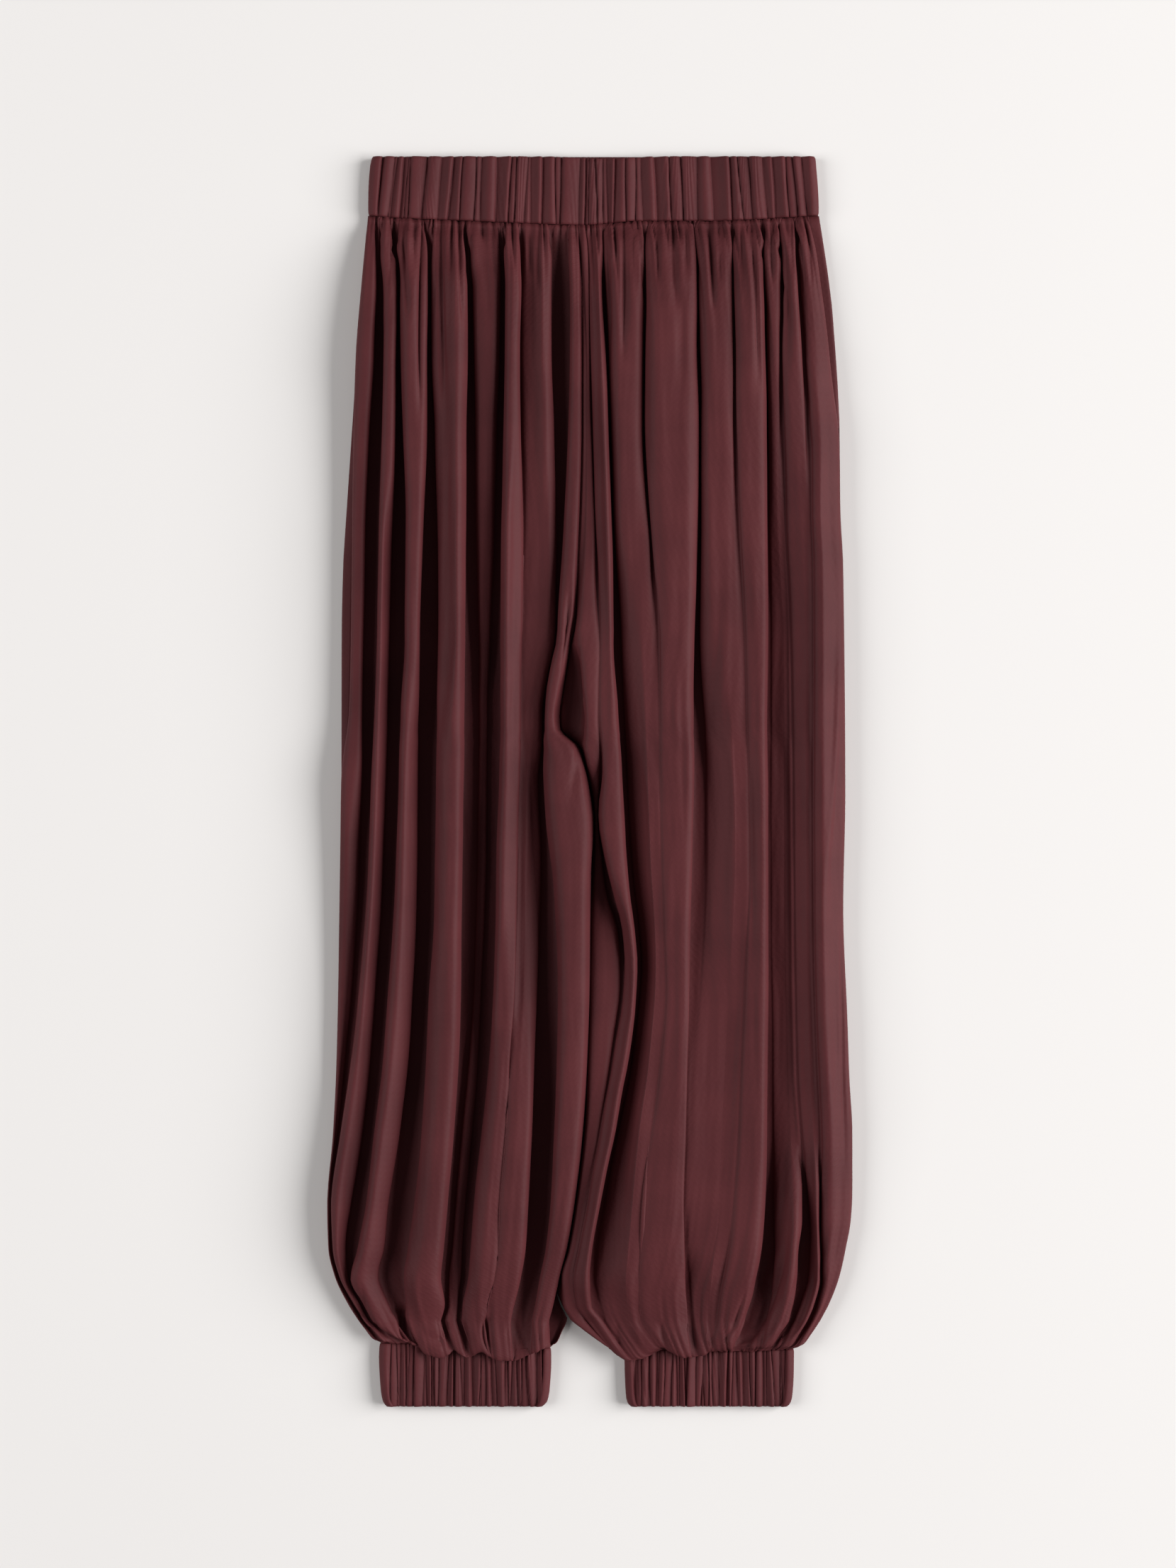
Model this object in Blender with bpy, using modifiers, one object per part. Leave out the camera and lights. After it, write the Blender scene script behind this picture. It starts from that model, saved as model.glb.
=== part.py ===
"""Gathered balloon trousers laid flat on their back: an elastic waistband, four leg panels,
a pocket facing and two elastic ankle cuffs.

Tables are in millimetres. "down" is the distance below the top of the waistband, and x runs
from the middle of the garment towards the wearer's left. The floor is at z = 0.
"""
from collections import namedtuple

import bmesh
import bpy
import numpy as np

MM = 0.001

# Overall sizes
LENGTH = 1059.0
CLOTH = 1.2
SEAM_GAP = 0.3
HALF_GAP = SEAM_GAP / 2
SEAM_RISE = 5.3
WAIST_SEAM = 54.0
HEM_START = 985.0

# Elastic bands: two layers, each a gathered casing over its elastic
BAND_HEIGHT = 10.6
BAND_WALL = 2.2
TUCK_DEPTH = 1.5
BAND_EDGE_ROUND = 3.0
END_TURN = (60, 20, -20, -60)
UPPER_LEVELS = ("upper edge", "below the upper edge")

# The waistband's front dips in the middle, and its tucks fan out downwards
DIP_CENTRE = 10.0
DIP_HALF = 30.0
WAIST_DIP = 2.2
WAIST_FAN = 0.06
WAIST_TUCKS = 38
CUFF_TUCKS = 18

# Lie of the leg panels at their seams
WAIST_LAY = 9.8
CUFF_LAY = 11.2
LAY_ROUND = 7.0
EDGE_STAND = 1.7
HEM_PUFF = 10.0
NO_DROP = 2.5
WAIST_BLEND = 42.0
SAG_REACH = 120.0

# A fold lower than this has no overhang, and its feet lie a little outside its edges
STEEP_HEIGHT = 9.0
FLAT_FOOT = 0.4

# Back panels: flat on the floor between shallow troughs, with rolled sides. Each step of a
# roll: distance from the edge where it is rolled up, the same where it lies flat, share of
# the edge's height
ROLL = ((0.0, 1.2, 0.55), (2.2, 3.2, 0.16), (6.5, 6.5, 0.0))
TROUGH_ENDS = 90.0

# Pocket facing
FACING_TOP = 7.6
FACING_REACH = 14.0
FACING_ROWS = (54, 84, 112, 150, 180, 206)
POCKET_EDGE_RISE = 7.9

FoldRow = namedtuple("FoldRow", "down left right crest valley")
Fold = namedtuple("Fold", "name lean under rows")
Leg = namedtuple("Leg", "name folds first last back_first back_last back_edges cuff seam drop troughs")
Band = namedtuple("Band", "name sides top bottom front_dip fan fan_centre tucks spread")
Trough = namedtuple("Trough", "top_share bottom_share width height")


def fold(name, lean, under, *rows):
    return Fold(name, lean, under, tuple(FoldRow(*row) for row in rows))


# Folds of the wearer's right leg, from the side seam inwards. Each row: down, left edge,
# right edge, height of the crest, height of the valley on the fold's right.
RIGHT_LEG_FOLDS = (
    fold("side", 0, 1.0,
         (54, -188, -181, 10, 9.8), (84, -190.5, -181, 18, 14), (112, -193, -181, 23, 13),
         (168, -197.5, -182, 25, 12), (228, -199.5, -188, 23, 12), (312, -201, -190, 21, 12),
         (468, -203.5, -193.5, 21, 12), (528, -210, -195, 23, 12), (588, -211, -197.5, 20, 12),
         (648, -212, -199.5, 17, 12), (708, -213, -204, 15, 12), (768, -214.5, -208.5, 14, 12),
         (828, -217.5, -213.5, 13, 13), (888, -222.3, -219.5, 14, 16), (924, -221.4, -218.8, 14, 15),
         (948, -216, -213, 14, 15), (972, -204.6, -201, 14, 15), (985, -196.5, -193, 13, 14)),
    fold("outer", 0, 1.6,
         (54, -178, -170, 10, 9.8), (84, -176.5, -166, 20, 13), (112, -174.5, -163, 25, 12),
         (168, -174.5, -164, 28, 11.5), (228, -175, -165, 29, 11.5), (312, -178, -167.5, 29, 11.5),
         (408, -179.5, -171, 28, 12), (528, -185, -174.5, 28, 12), (648, -190.5, -179.5, 28, 12),
         (708, -195.5, -184, 27, 12), (768, -202, -189, 26, 12), (828, -210.5, -194.5, 26, 12),
         (888, -218, -204, 25, 12), (924, -217, -208, 23, 13), (948, -211.5, -205, 20, 14),
         (972, -199.5, -194, 18, 15), (985, -191.5, -187, 17, 15)),
    fold("second", 0, 1.8,
         (54, -165, -149, 10, 9.8), (84, -161, -144, 22, 12), (112, -159, -141, 28, 11.5),
         (168, -159.5, -138.5, 31, 11.5), (312, -155.5, -142, 31, 11.5), (408, -155.5, -145, 30, 11.5),
         (468, -159.5, -146, 30, 11.5), (588, -163, -149.5, 31, 11.5), (648, -165.5, -150, 31, 11.5),
         (708, -170, -152.5, 31, 11.5), (768, -174.5, -155.5, 31, 11.5), (828, -182, -161.5, 30, 12),
         (888, -189, -170.5, 29, 12), (924, -196, -173, 27, 13), (948, -202, -178, 25, 14),
         (972, -191, -169, 22, 14), (985, -184, -163, 20, 14.5)),
    fold("middle", 1, 2.4,
         (54, -144, -110, 10, 9.8), (84, -138, -105, 23, 12), (112, -135.5, -103, 29, 11),
         (228, -133, -104, 32, 11), (408, -129, -105, 33, 11), (528, -130, -107, 33, 11),
         (648, -132, -108, 34, 11), (708, -136, -108.5, 34, 11), (768, -139, -110.5, 34, 11),
         (828, -142, -114.5, 33, 11), (888, -149, -120, 31, 11.5), (924, -154, -123.5, 30, 12),
         (948, -158, -126, 28, 12.5), (972, -156, -123, 24, 14), (985, -155.5, -126, 20, 15)),
    fold("sunk", 0, 1.0,
         (54, -105, -80, 10, 9.8), (84, -101, -77, 17, 12), (112, -98, -75, 21, 12),
         (228, -96, -80, 20, 11.5), (312, -96, -81, 18, 11), (408, -94, -84, 15, 11),
         (468, -94, -86, 12, 11), (588, -96, -87, 11.5, 11), (708, -99, -91, 11.5, 11),
         (768, -103, -94, 11.5, 11), (828, -109, -99, 11.5, 11), (888, -114.5, -104.5, 11.5, 11),
         (924, -117.5, -107, 12, 11.5), (948, -120, -108, 12.5, 12), (972, -120, -111, 14, 14),
         (985, -123, -112, 15.5, 15)),
    fold("broad", -1, 2.6,
         (54, -75, -30, 10, 9.8), (84, -71.5, -28, 24, 12), (112, -70, -28, 29, 11.5),
         (228, -72.5, -31, 32, 11), (348, -75, -36, 32, 12), (408, -75.5, -41, 32, 12),
         (528, -77, -46, 32, 12), (588, -79, -44, 32, 11), (648, -80, -43.5, 33, 11),
         (708, -82, -48, 33, 11), (768, -86, -51, 33, 11), (828, -93, -52, 32, 11.5),
         (888, -99, -55, 31, 12), (924, -101, -57, 30, 12.5), (948, -103, -61, 28, 13),
         (972, -108, -66, 24, 14), (985, -109, -68, 21, 15)),
    fold("inner", 0, 1.4,
         (54, -19, -11, 10, 9.8), (84, -18.5, -9, 18, 12), (112, -18, -8, 23, 13),
         (228, -18, -7, 26, 15), (312, -22, -9, 27, 16), (384, -29, -13, 29, 14),
         (408, -31, -16.5, 30, 12), (432, -34, -20.5, 30, 10.5), (456, -37, -25, 29, 9),
         (474, -38, -28, 28, 8.5), (486, -38.5, -26.5, 28, 8), (495, -38.5, -21, 29, 7.5),
         (510, -38.5, -8, 31, 6.3), (540, -38, -0.5, 33, 6), (564, -36.5, 2.5, 33, 6),
         (588, -33.5, 2, 33, 6), (612, -30.5, 0.5, 33, 6), (708, -29, -0.5, 32, 6),
         (768, -30, -2.5, 31, 6), (828, -32, -6.5, 30, 6), (888, -33, -13.5, 28, 6),
         (924, -37, -19.5, 26, 6), (948, -42, -25.5, 24, 6), (972, -46, -31, 22, 6),
         (985, -49, -34.5, 20, 6)),
)

# Folds of the wearer's left leg, from the middle of the garment outwards
LEFT_LEG_FOLDS = (
    fold("inner", 0, 0.0,
         (54, -8, -3, 10, 9.8), (84, -6.5, -3, 17, 13), (112, -5, -2, 19, 15),
         (168, -3.5, -0.5, 20.5, 16), (228, -3.5, 1, 22, 17), (312, -5, 3, 24, 18),
         (384, -9, 5, 26, 18), (411, -12.5, 5.5, 26, 18), (444, -13, 6, 26, 18),
         (459, -9.5, 6, 26, 18), (477, -5.5, 6.5, 26, 18), (492, -7, 7, 26, 18),
         (510, -4.5, 8.5, 25, 17), (534, 1, 10.5, 22, 15), (558, 4.2, 9.5, 16, 13),
         (588, 3.8, 9.8, 13, 12), (624, 2.2, 14.5, 12.5, 12), (660, 1.6, 24, 13, 12),
         (700, 1.2, 26, 15, 14), (768, -0.8, 17, 20, 20), (828, -4.8, 7, 23, 24),
         (888, -12, -4, 24, 25.5), (924, -17.8, -11, 24, 26), (948, -24, -15, 23, 25),
         (972, -22.5, -12, 19, 20), (985, -16, -4, 17, 16.5)),
    fold("ridge", 1, 2.2,
         (54, -2, 10, 10, 9.8), (84, -2, 10.5, 20, 13), (112, -1, 11, 25, 13.5),
         (168, 0.5, 13.5, 28, 14), (228, 2, 15.6, 30, 14), (312, 4, 18.5, 31, 15),
         (420, 6.5, 22.8, 31, 15), (468, 7.5, 24.6, 31, 15), (516, 10, 27, 31, 15),
         (558, 10.5, 29.4, 31, 15), (588, 11.5, 31, 31, 15), (624, 19.5, 33.8, 31, 15),
         (654, 27, 37.5, 31, 15), (684, 29, 40, 30, 15), (720, 27, 38.4, 30, 16),
         (744, 22, 36, 30, 16), (768, 18.5, 32, 30, 17), (792, 14, 27, 30, 17),
         (828, 8.5, 20.8, 30, 17), (864, 1.5, 13.2, 30, 18), (888, -2.5, 8.6, 30, 18),
         (924, -9.5, 2.4, 29, 18), (948, -13.5, 0, 28, 18), (972, -11, 1, 24, 18),
         (985, -3, 11, 19.5, 17)),
    fold("first short", 1, 0.8,
         (54, 13, 46, 10, 9.8), (84, 13.5, 46.2, 20, 14), (112, 14, 46.2, 23, 15),
         (156, 16, 44.4, 24, 17), (204, 18, 41.4, 25, 19), (252, 19.5, 41.4, 25, 21),
         (300, 21, 44, 24.5, 23), (372, 24, 48, 24.5, 24.3), (468, 28, 52, 24, 24.3),
         (588, 34, 56, 23, 24), (684, 43, 60, 22.5, 24), (768, 36, 56, 23, 24),
         (840, 23, 48, 23.5, 24.5), (888, 13, 42, 24, 25), (924, 7, 39, 24, 25),
         (948, 5, 38, 23, 24), (985, 12, 42, 20, 20)),
    fold("long", 1, 2.4,
         (54, 49, 86.5, 10, 9.8), (84, 49, 87.3, 22, 12.5), (112, 49, 88, 27, 13),
         (156, 47.5, 89.4, 29, 13.5), (228, 45, 91.8, 31, 14), (324, 50, 90.6, 32, 14.5),
         (420, 54, 88, 32, 14.5), (516, 57, 87.6, 32, 14.5), (588, 60, 86.4, 32, 14.5),
         (684, 63, 83.4, 32, 14.5), (732, 61, 82.8, 32, 14.5), (828, 52, 80.4, 32, 15),
         (876, 46, 78.6, 31, 15), (924, 42, 78.6, 30, 16), (948, 41, 80.4, 28, 17),
         (985, 43, 84, 23, 18)),
    fold("second short", 1, 0.8,
         (54, 89, 116, 10, 9.8), (84, 90, 118, 20, 14), (112, 91, 119.5, 23, 15),
         (156, 92, 120.5, 25, 17), (204, 94, 119, 25, 19), (252, 94.5, 117, 25, 21),
         (312, 94, 117.5, 24.5, 22.5), (516, 91, 118.5, 24.5, 22.5), (732, 86.5, 118, 24.5, 22.5),
         (828, 84.5, 117, 24, 22), (900, 82, 112, 24, 22.5), (948, 84, 108, 22, 22),
         (985, 87.5, 104, 20, 20)),
    fold("straight", 1, 2.0,
         (54, 119, 143, 10, 9.8), (84, 121, 144.3, 22, 13), (112, 122.5, 145, 27, 13.5),
         (156, 124, 146.4, 29, 14), (228, 122.5, 147.6, 30, 15), (300, 121, 148.8, 30.5, 16),
         (408, 121.5, 150.6, 30.5, 17), (528, 122, 149.4, 30, 17), (624, 122, 150.6, 30, 17),
         (708, 121.5, 150, 30, 17), (828, 120.5, 149.4, 30, 15), (876, 117, 148, 30, 13),
         (912, 114, 145.8, 30, 12), (936, 112, 142.8, 29, 12), (960, 110.5, 138, 27, 12.5),
         (985, 107, 131.5, 24, 13)),
    fold("third short", 1, 1.2,
         (54, 146, 159, 10, 9.8), (84, 147, 160, 20, 14), (112, 148, 159.6, 23, 16),
         (168, 149.5, 157.5, 24, 18), (240, 151, 158, 24, 21), (300, 152, 160, 23, 22),
         (408, 154, 166, 22, 22), (648, 154, 168, 22, 22), (768, 153.5, 170, 23, 22),
         (828, 153, 174, 25, 19), (876, 153, 178, 27, 15), (900, 154.5, 178.5, 28, 14),
         (924, 155.5, 176, 28, 13), (960, 153.5, 173.5, 26, 13), (985, 148.5, 168, 23, 14)),
    fold("outer", 1, 1.2,
         (54, 162, 173, 10, 9.8), (84, 163, 173.8, 21, 13), (112, 163, 175.2, 25, 14.5),
         (156, 162, 178.2, 26, 16), (204, 163, 181.2, 26, 18), (252, 164, 183.5, 25.5, 20.5),
         (300, 166, 185, 24, 22.5), (408, 171, 188, 24, 24), (528, 172, 185, 26, 24),
         (648, 173, 186, 26, 24), (768, 174, 190, 26, 22), (828, 178, 193, 25.5, 19),
         (876, 182, 195.5, 25, 15), (912, 184, 195.8, 25, 13), (948, 181.5, 196.5, 24, 13),
         (972, 178, 189, 22, 13.5), (985, 173.5, 184, 20, 14)),
    fold("side", 1, 0.0,
         (54, 176, 184.8, 10, 9), (84, 177, 191.5, 17, 9), (112, 178.5, 195.6, 20, 9),
         (132, 180, 198.6, 21, 9), (156, 181, 201.6, 22, 9), (180, 182.5, 204, 22, 9),
         (204, 184, 207, 21, 9), (228, 185.5, 210.4, 20, 9), (252, 187, 211.8, 20, 9),
         (300, 188.5, 212.4, 19, 9), (348, 191, 214.8, 19, 9), (540, 190, 216.6, 19, 9),
         (636, 190.5, 214.8, 18, 9), (732, 193, 218.4, 18, 9), (780, 195, 220, 18, 9),
         (828, 198, 222.6, 18, 9), (876, 200, 222.6, 18, 9), (900, 200, 221.4, 18, 9),
         (924, 199.5, 217.2, 17, 9), (948, 199.5, 211.8, 16, 9), (972, 192.5, 202.8, 15, 9),
         (985, 187.5, 196, 14, 9)),
)

# Side outlines, seen from above: down, x
RIGHT_SIDE = ((54, -188), (108, -192.6), (168, -197.6), (228, -201.6), (300, -206.4),
              (348, -209.4), (408, -210.6), (528, -210.8), (588, -211.2), (708, -213.2),
              (768, -214.6), (828, -217.6), (876, -221.4), (900, -222.6), (924, -221.6),
              (948, -216.2), (972, -204.8), (985, -196.7))
LEFT_SIDE = ((54, 194.4), (84, 199.2), (108, 202.8), (132, 205.8), (156, 207.6), (180, 209.4),
             (204, 210.8), (228, 211.8), (300, 212.4), (348, 214.8), (540, 216.6), (636, 214.8),
             (732, 218.4), (780, 220), (828, 222.6), (876, 222.6), (900, 221.4), (924, 217.2),
             (948, 211.8), (972, 202.8), (985, 196))

# Centre seam as far as the crotch, then the line between the two legs: down, x
MIDDLE = ((54, -9.5), (108, -6.5), (168, -5.4), (228, -5.4), (300, -7), (348, -10), (384, -11.4),
          (402, -12.8), (411, -15.6), (438, -19.5), (462, -22.5), (474, -23), (486, -21),
          (495, -16), (510, -6), (540, 0.6), (558, 3.4), (576, 3), (600, 1.4), (648, 0.6),
          (708, 0), (768, -1.8), (828, -6), (888, -13), (924, -18.8), (948, -25), (960, -28))
RIGHT_INSEAM = MIDDLE + ((972, -30.6), (985, -34))
LEFT_INSEAM = MIDDLE + ((972, -24), (985, -16.8))

# The back of the right leg puffs out past its front beside the inner end of its cuff
RIGHT_BACK_INSEAM = MIDDLE + ((972, -25.5), (985, -19))

# Height of the front panels' inner edges, sunk in a hollow at the crotch: down, z
FRONT_INNER_RISE = ((54, 7.2), (84, 9.6), (108, 12), (228, 14.5), (312, 15), (384, 13),
                    (411, 11), (438, 9.5), (474, 8.5), (495, 7.5), (510, 5.8), (540, 5.3),
                    (LENGTH, 5.3))
BACK_INNER_RISE = ((54, 0), (440, 0), (515, 5.3), (LENGTH, 5.3))
POCKET_RISE = ((54, POCKET_EDGE_RISE), (212, POCKET_EDGE_RISE), (232, SEAM_RISE),
               (LENGTH, SEAM_RISE))
SIDE_RISE = ((54, SEAM_RISE), (LENGTH, SEAM_RISE))

# Lower edge of the waistband and upper edges of the cuffs: x, down
WAIST_LINE = ((-188, 50), (-163, 52), (-115, 54), (-67, 56), (-3, 58), (17, 56.4), (41, 54.6),
              (100, 54.6), (137, 53.4), (161, 52), (195, 50))
RIGHT_CUFF_LINE = ((-178, 1005), (-130, 1006), (-80, 1010), (-33, 1009))
LEFT_CUFF_LINE = ((29, 1009), (60, 1011), (110, 1012), (174, 1010))

# Lowest line of the cloth that blouses over each cuff: x, down
RIGHT_DROP = ((-178, 1002), (-157, 1000), (-145, 1003), (-137, 1008), (-129, 1014), (-120, 1017),
              (-109, 1014), (-102, 1015), (-92, 1020), (-58, 1020), (-48, 1018), (-40, 1012),
              (-34, 1007))
LEFT_DROP = ((29, 1013), (43, 1018), (53, 1019), (61, 1015), (68, 1011), (76, 1015), (88, 1018),
             (101, 1014), (125, 1009), (150, 1007), (173, 1008))

# How the cloth turns under above a cuff: share of the way in to the cuff's width, share of
# the way down to the lowest line, share of the way back to the seam, share of the puff's
# height, share of the folds' relief
HEM_TURN = ((0.34, 0.55, 0.0, 0.94, 0.6), (0.64, 0.95, 0.0, 0.66, 0.3), (0.86, 1.0, 0.35, 0.2, 0.2),
            (1.0, 1.0, 1.0, 0.0, 0.0))

# Share of the hem's width at each end where the cloth no longer turns under
HEM_END_SHARE = 0.12

WAIST_SIDES = ((0, -184.8, 191.4), (12, -186.6, 192.2), (36, -187.8, 193.8), (58, -188, 194.4))
RIGHT_CUFF_SIDES = ((1004, -177.6, -33), (1020, -178.8, -32.6), (1045, -177.4, -34),
                    (1055, -175.6, -36), (1059, -173.4, -39))
LEFT_CUFF_SIDES = ((1010, 29.2, 173.2), (1030, 29.6, 173), (1050, 30.6, 171.8),
                   (1056, 31.8, 170.4), (1059, 33.6, 168.6))

RIGHT_TROUGHS = (Trough(0.16, 0.10, 13, 2.8), Trough(0.31, 0.27, 18, 3.6),
                 Trough(0.50, 0.45, 14, 3.0), Trough(0.68, 0.64, 20, 3.8),
                 Trough(0.86, 0.83, 12, 2.4))
LEFT_TROUGHS = (Trough(0.14, 0.16, 12, 2.6), Trough(0.33, 0.34, 19, 3.8),
                Trough(0.49, 0.53, 13, 2.8), Trough(0.69, 0.72, 18, 3.6),
                Trough(0.85, 0.90, 13, 2.6))

# Levels of the panels' points: the front's, and the fewer that the flatter back needs
ROWS = (54, 66, 90, 130, 180, 212, 255, 320, 385, 432, 458, 478, 495, 514, 550, 595, 645, 705, 770,
        830, 885, 930, 960, 985)
BACK_ROWS = (54, 110, 190, 280, 385, 432, 458, 478, 495, 514, 550, 595, 645, 705, 770, 830, 885,
             930, 960, 985)


def glide(table, at, column=1):
    """Read a table's column at a place, on a smooth curve that never passes its own points."""
    stations = np.array([row[0] for row in table], float)
    values = np.array([row[column] for row in table], float)
    spans = np.diff(stations)
    slopes = np.diff(values) / spans
    tangents = np.zeros(len(values))
    tangents[0] = slopes[0]
    tangents[-1] = slopes[-1]
    for i in range(1, len(slopes)):
        if slopes[i - 1] * slopes[i] > 0:
            tangents[i] = 2 * slopes[i - 1] * slopes[i] / (slopes[i - 1] + slopes[i])
    at = np.clip(at, stations[0], stations[-1])
    i = np.clip(np.searchsorted(stations, at, side="right") - 1, 0, len(spans) - 1)
    t = (at - stations[i]) / spans[i]
    value = values[i] * (2 * t**3 - 3 * t**2 + 1) + values[i + 1] * (3 * t**2 - 2 * t**3)
    return value + spans[i] * (tangents[i] * (t**3 - 2 * t**2 + t) + tangents[i + 1] * (t**3 - t**2))


def ease(t):
    t = np.clip(t, 0.0, 1.0)
    return t * t * (3 - 2 * t)


def mix(a, b, share):
    return a + (b - a) * share


def fold_knots(item, down, valley_left):
    """Five points across one fold, from its left foot over its crest to its right foot."""
    left, right, crest, valley = (glide(item.rows, down, column) for column in (1, 2, 3, 4))
    width = right - left
    under = min(item.under, 0.28 * width)
    steep_left = ease((crest - valley_left) / STEEP_HEIGHT)
    steep_right = ease((crest - valley) / STEEP_HEIGHT)
    foot_left = left + mix(-FLAT_FOOT, under * (item.lean <= 0), steep_left)
    foot_right = right - mix(-FLAT_FOOT, under * (item.lean >= 0), steep_right)
    lip_left = left + 0.16 * width * (1 - steep_left)
    lip_right = right - 0.16 * width * (1 - steep_right)
    peak = mix(left, right, 0.5 + 0.26 * item.lean)
    shoulder_left = (left + 0.4 * width if item.lean > 0 else lip_left, mix(valley_left, crest, 0.6))
    shoulder_right = (right - 0.4 * width if item.lean < 0 else lip_right, mix(valley, crest, 0.6))
    return [(foot_left, valley_left), shoulder_left, (peak, crest), shoulder_right,
            (foot_right, valley)], valley


def edge_point(edge, down, side):
    """Where a panel's edge lies: its plan line, set half a seam gap aside, and its height."""
    line, rise, aside, lift = edge
    return glide(line, down) + side * aside, glide(rise, down) + lift


def front_section(leg, down):
    """The points of a front panel across one level, x and z."""
    first = edge_point(leg.first, down, 1)
    last = edge_point(leg.last, down, -1)
    knots = []
    valley = first[1]
    for item in leg.folds:
        points, valley = fold_knots(item, down, valley)
        knots.extend(points)
    knots[0:1] = [first, (first[0], first[1] + EDGE_STAND)]
    knots[-1:] = [(last[0], last[1] + EDGE_STAND), last]
    x = np.array([knot[0] for knot in knots])
    z = np.array([knot[1] for knot in knots])
    return np.clip(x, first[0], last[0]), z


def arc_shares(x, z):
    steps = np.hypot(np.diff(x), np.diff(z))
    return np.concatenate(([0.0], np.cumsum(steps))) / steps.sum()


def upright_ends(x):
    """Keep the cloth beside each edge upright, so that edges meet rim to rim."""
    x[1] = x[0]
    x[-2] = x[-1]
    return x


def lay(x, left, right, edge, middle):
    """Height of a flattened tube's layer: round at its two ends and level between them."""
    reach = np.clip(np.minimum(x - left, right - x) / LAY_ROUND, 0.0, 1.0)
    return edge + (middle - edge) * np.sqrt(1 - (1 - reach) ** 2)


def level_line(x, down):
    """A level of the legs, following the sag of the waist seam and half a gap clear of it."""
    sag = (glide(WAIST_LINE, x) - WAIST_SEAM) * (1 - ease((down - WAIST_SEAM) / SAG_REACH))
    return down + sag + (HALF_GAP if down == WAIST_SEAM else 0.0)


def to_world(x, down, z):
    return np.stack([x, LENGTH / 2 - down, z], axis=-1) * MM


def hem_rows(leg, x, z, shares, middle_z, puff):
    """The rows that turn the cloth under and bring it to the cuff's seam."""
    left = glide(leg.cuff, HEM_START, 1)
    right = glide(leg.cuff, HEM_START, 2)
    seam_x = upright_ends(mix(left, right, shares))
    seam_down = glide(leg.seam, seam_x) - HALF_GAP
    seam_z = lay(seam_x, left, right, z[1], middle_z)
    seam_z[[0, -1]] = z[[0, -1]]
    lowest = glide(leg.drop, seam_x) if puff else seam_down - NO_DROP
    ends = np.clip(np.minimum(shares, 1 - shares) / HEM_END_SHARE, 0, 1)
    lowest = mix(seam_down - NO_DROP, lowest, ease(ends))
    rows = []
    for inward, downward, back, height, relief in HEM_TURN:
        row_x = upright_ends(mix(x, seam_x, inward))
        row_down = mix(mix(HEM_START, lowest, downward), seam_down, back)
        puffed = seam_z + puff * np.sqrt(1 - (1 - ends) ** 2)
        row_z = mix(seam_z, mix(puffed, z, relief), height)
        row_z[[0, -1]] = z[[0, -1]]
        rows.append(to_world(row_x, row_down, row_z))
    return rows


def front_panel(leg):
    rows = []
    for down in ROWS:
        x, z = front_section(leg, down)
        blend = ease((down - WAIST_SEAM) / WAIST_BLEND)
        even = upright_ends(mix(x[0], x[-1], arc_shares(*front_section(leg, ROWS[3]))))
        x = mix(even, x, blend)
        level = lay(x, x[0], x[-1], np.where(x < mix(x[0], x[-1], 0.5), z[1], z[-2]), WAIST_LAY)
        z[1:-1] = mix(level, z, blend)[1:-1]
        rows.append(to_world(x, level_line(x, down), z))
    rows += hem_rows(leg, x, z, arc_shares(x, z), CUFF_LAY, HEM_PUFF)
    return np.array(rows)


def back_section(leg, down):
    """The points of a back panel across one level: rolled sides, flats and shallow troughs."""
    left, left_rise = edge_point(leg.back_first, down, 1)
    right, right_rise = edge_point(leg.back_last, down, -1)
    first = edge_point((leg.back_edges[0],) + leg.back_first[1:], down, 1)
    last = edge_point((leg.back_edges[1],) + leg.back_last[1:], down, -1)
    left_flat = 1 - left_rise / SEAM_RISE
    right_flat = 1 - right_rise / SEAM_RISE
    knots = [first]
    knots += [(left + mix(rolled, flat, left_flat), share * left_rise) for rolled, flat, share in ROLL]
    ends = min(ease((down - WAIST_SEAM) / TROUGH_ENDS), ease((HEM_START - down) / TROUGH_ENDS))
    for trough in leg.troughs:
        share = mix(trough.top_share, trough.bottom_share, down / LENGTH)
        centre = mix(left, right, share)
        half = trough.width / 2
        knots += [(centre - half, 0), (centre, trough.height * ends), (centre + half, 0)]
    knots += [(right - mix(rolled, flat, right_flat), share * right_rise)
              for rolled, flat, share in reversed(ROLL)]
    knots.append(last)
    return np.array([knot[0] for knot in knots]), np.array([knot[1] for knot in knots])


def back_panel(leg):
    rows = []
    for down in BACK_ROWS:
        x, z = back_section(leg, down)
        rows.append(to_world(x, level_line(x, down), z))
    rows += hem_rows(leg, x, z, arc_shares(x, z), 0.0, 0.0)
    return np.array(rows)


def pocket_facing(leg):
    """A strip that shows between the pocket's edge and the side seam."""
    rows = []
    for down in FACING_ROWS:
        side = glide(LEFT_SIDE, down) - HALF_GAP
        edge = glide(leg.folds[-1].rows, down, 2)
        x = np.array([edge - FACING_REACH, edge - 3, mix(edge, side, 0.4), side - 1.2, side, side])
        z = np.array([FACING_TOP, FACING_TOP, FACING_TOP, FACING_TOP - 0.3, FACING_TOP - 1.0,
                      SEAM_RISE + HALF_GAP])
        rows.append(to_world(x, level_line(x, down), z))
    return np.array(rows)


def tuck_places(count, spread):
    """Uneven places of crests and valleys across one layer of a gathered band, 0 to 1."""
    steps = np.arange(2 * count + 1) / (2 * count)
    uneven = 0.30 * np.sin(steps * 41 + spread) + 0.22 * np.sin(steps * 97 + 2 * spread)
    places = steps + uneven / (2 * count) * np.sin(np.pi * steps)
    return (places - places[0]) / (places[-1] - places[0])


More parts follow.
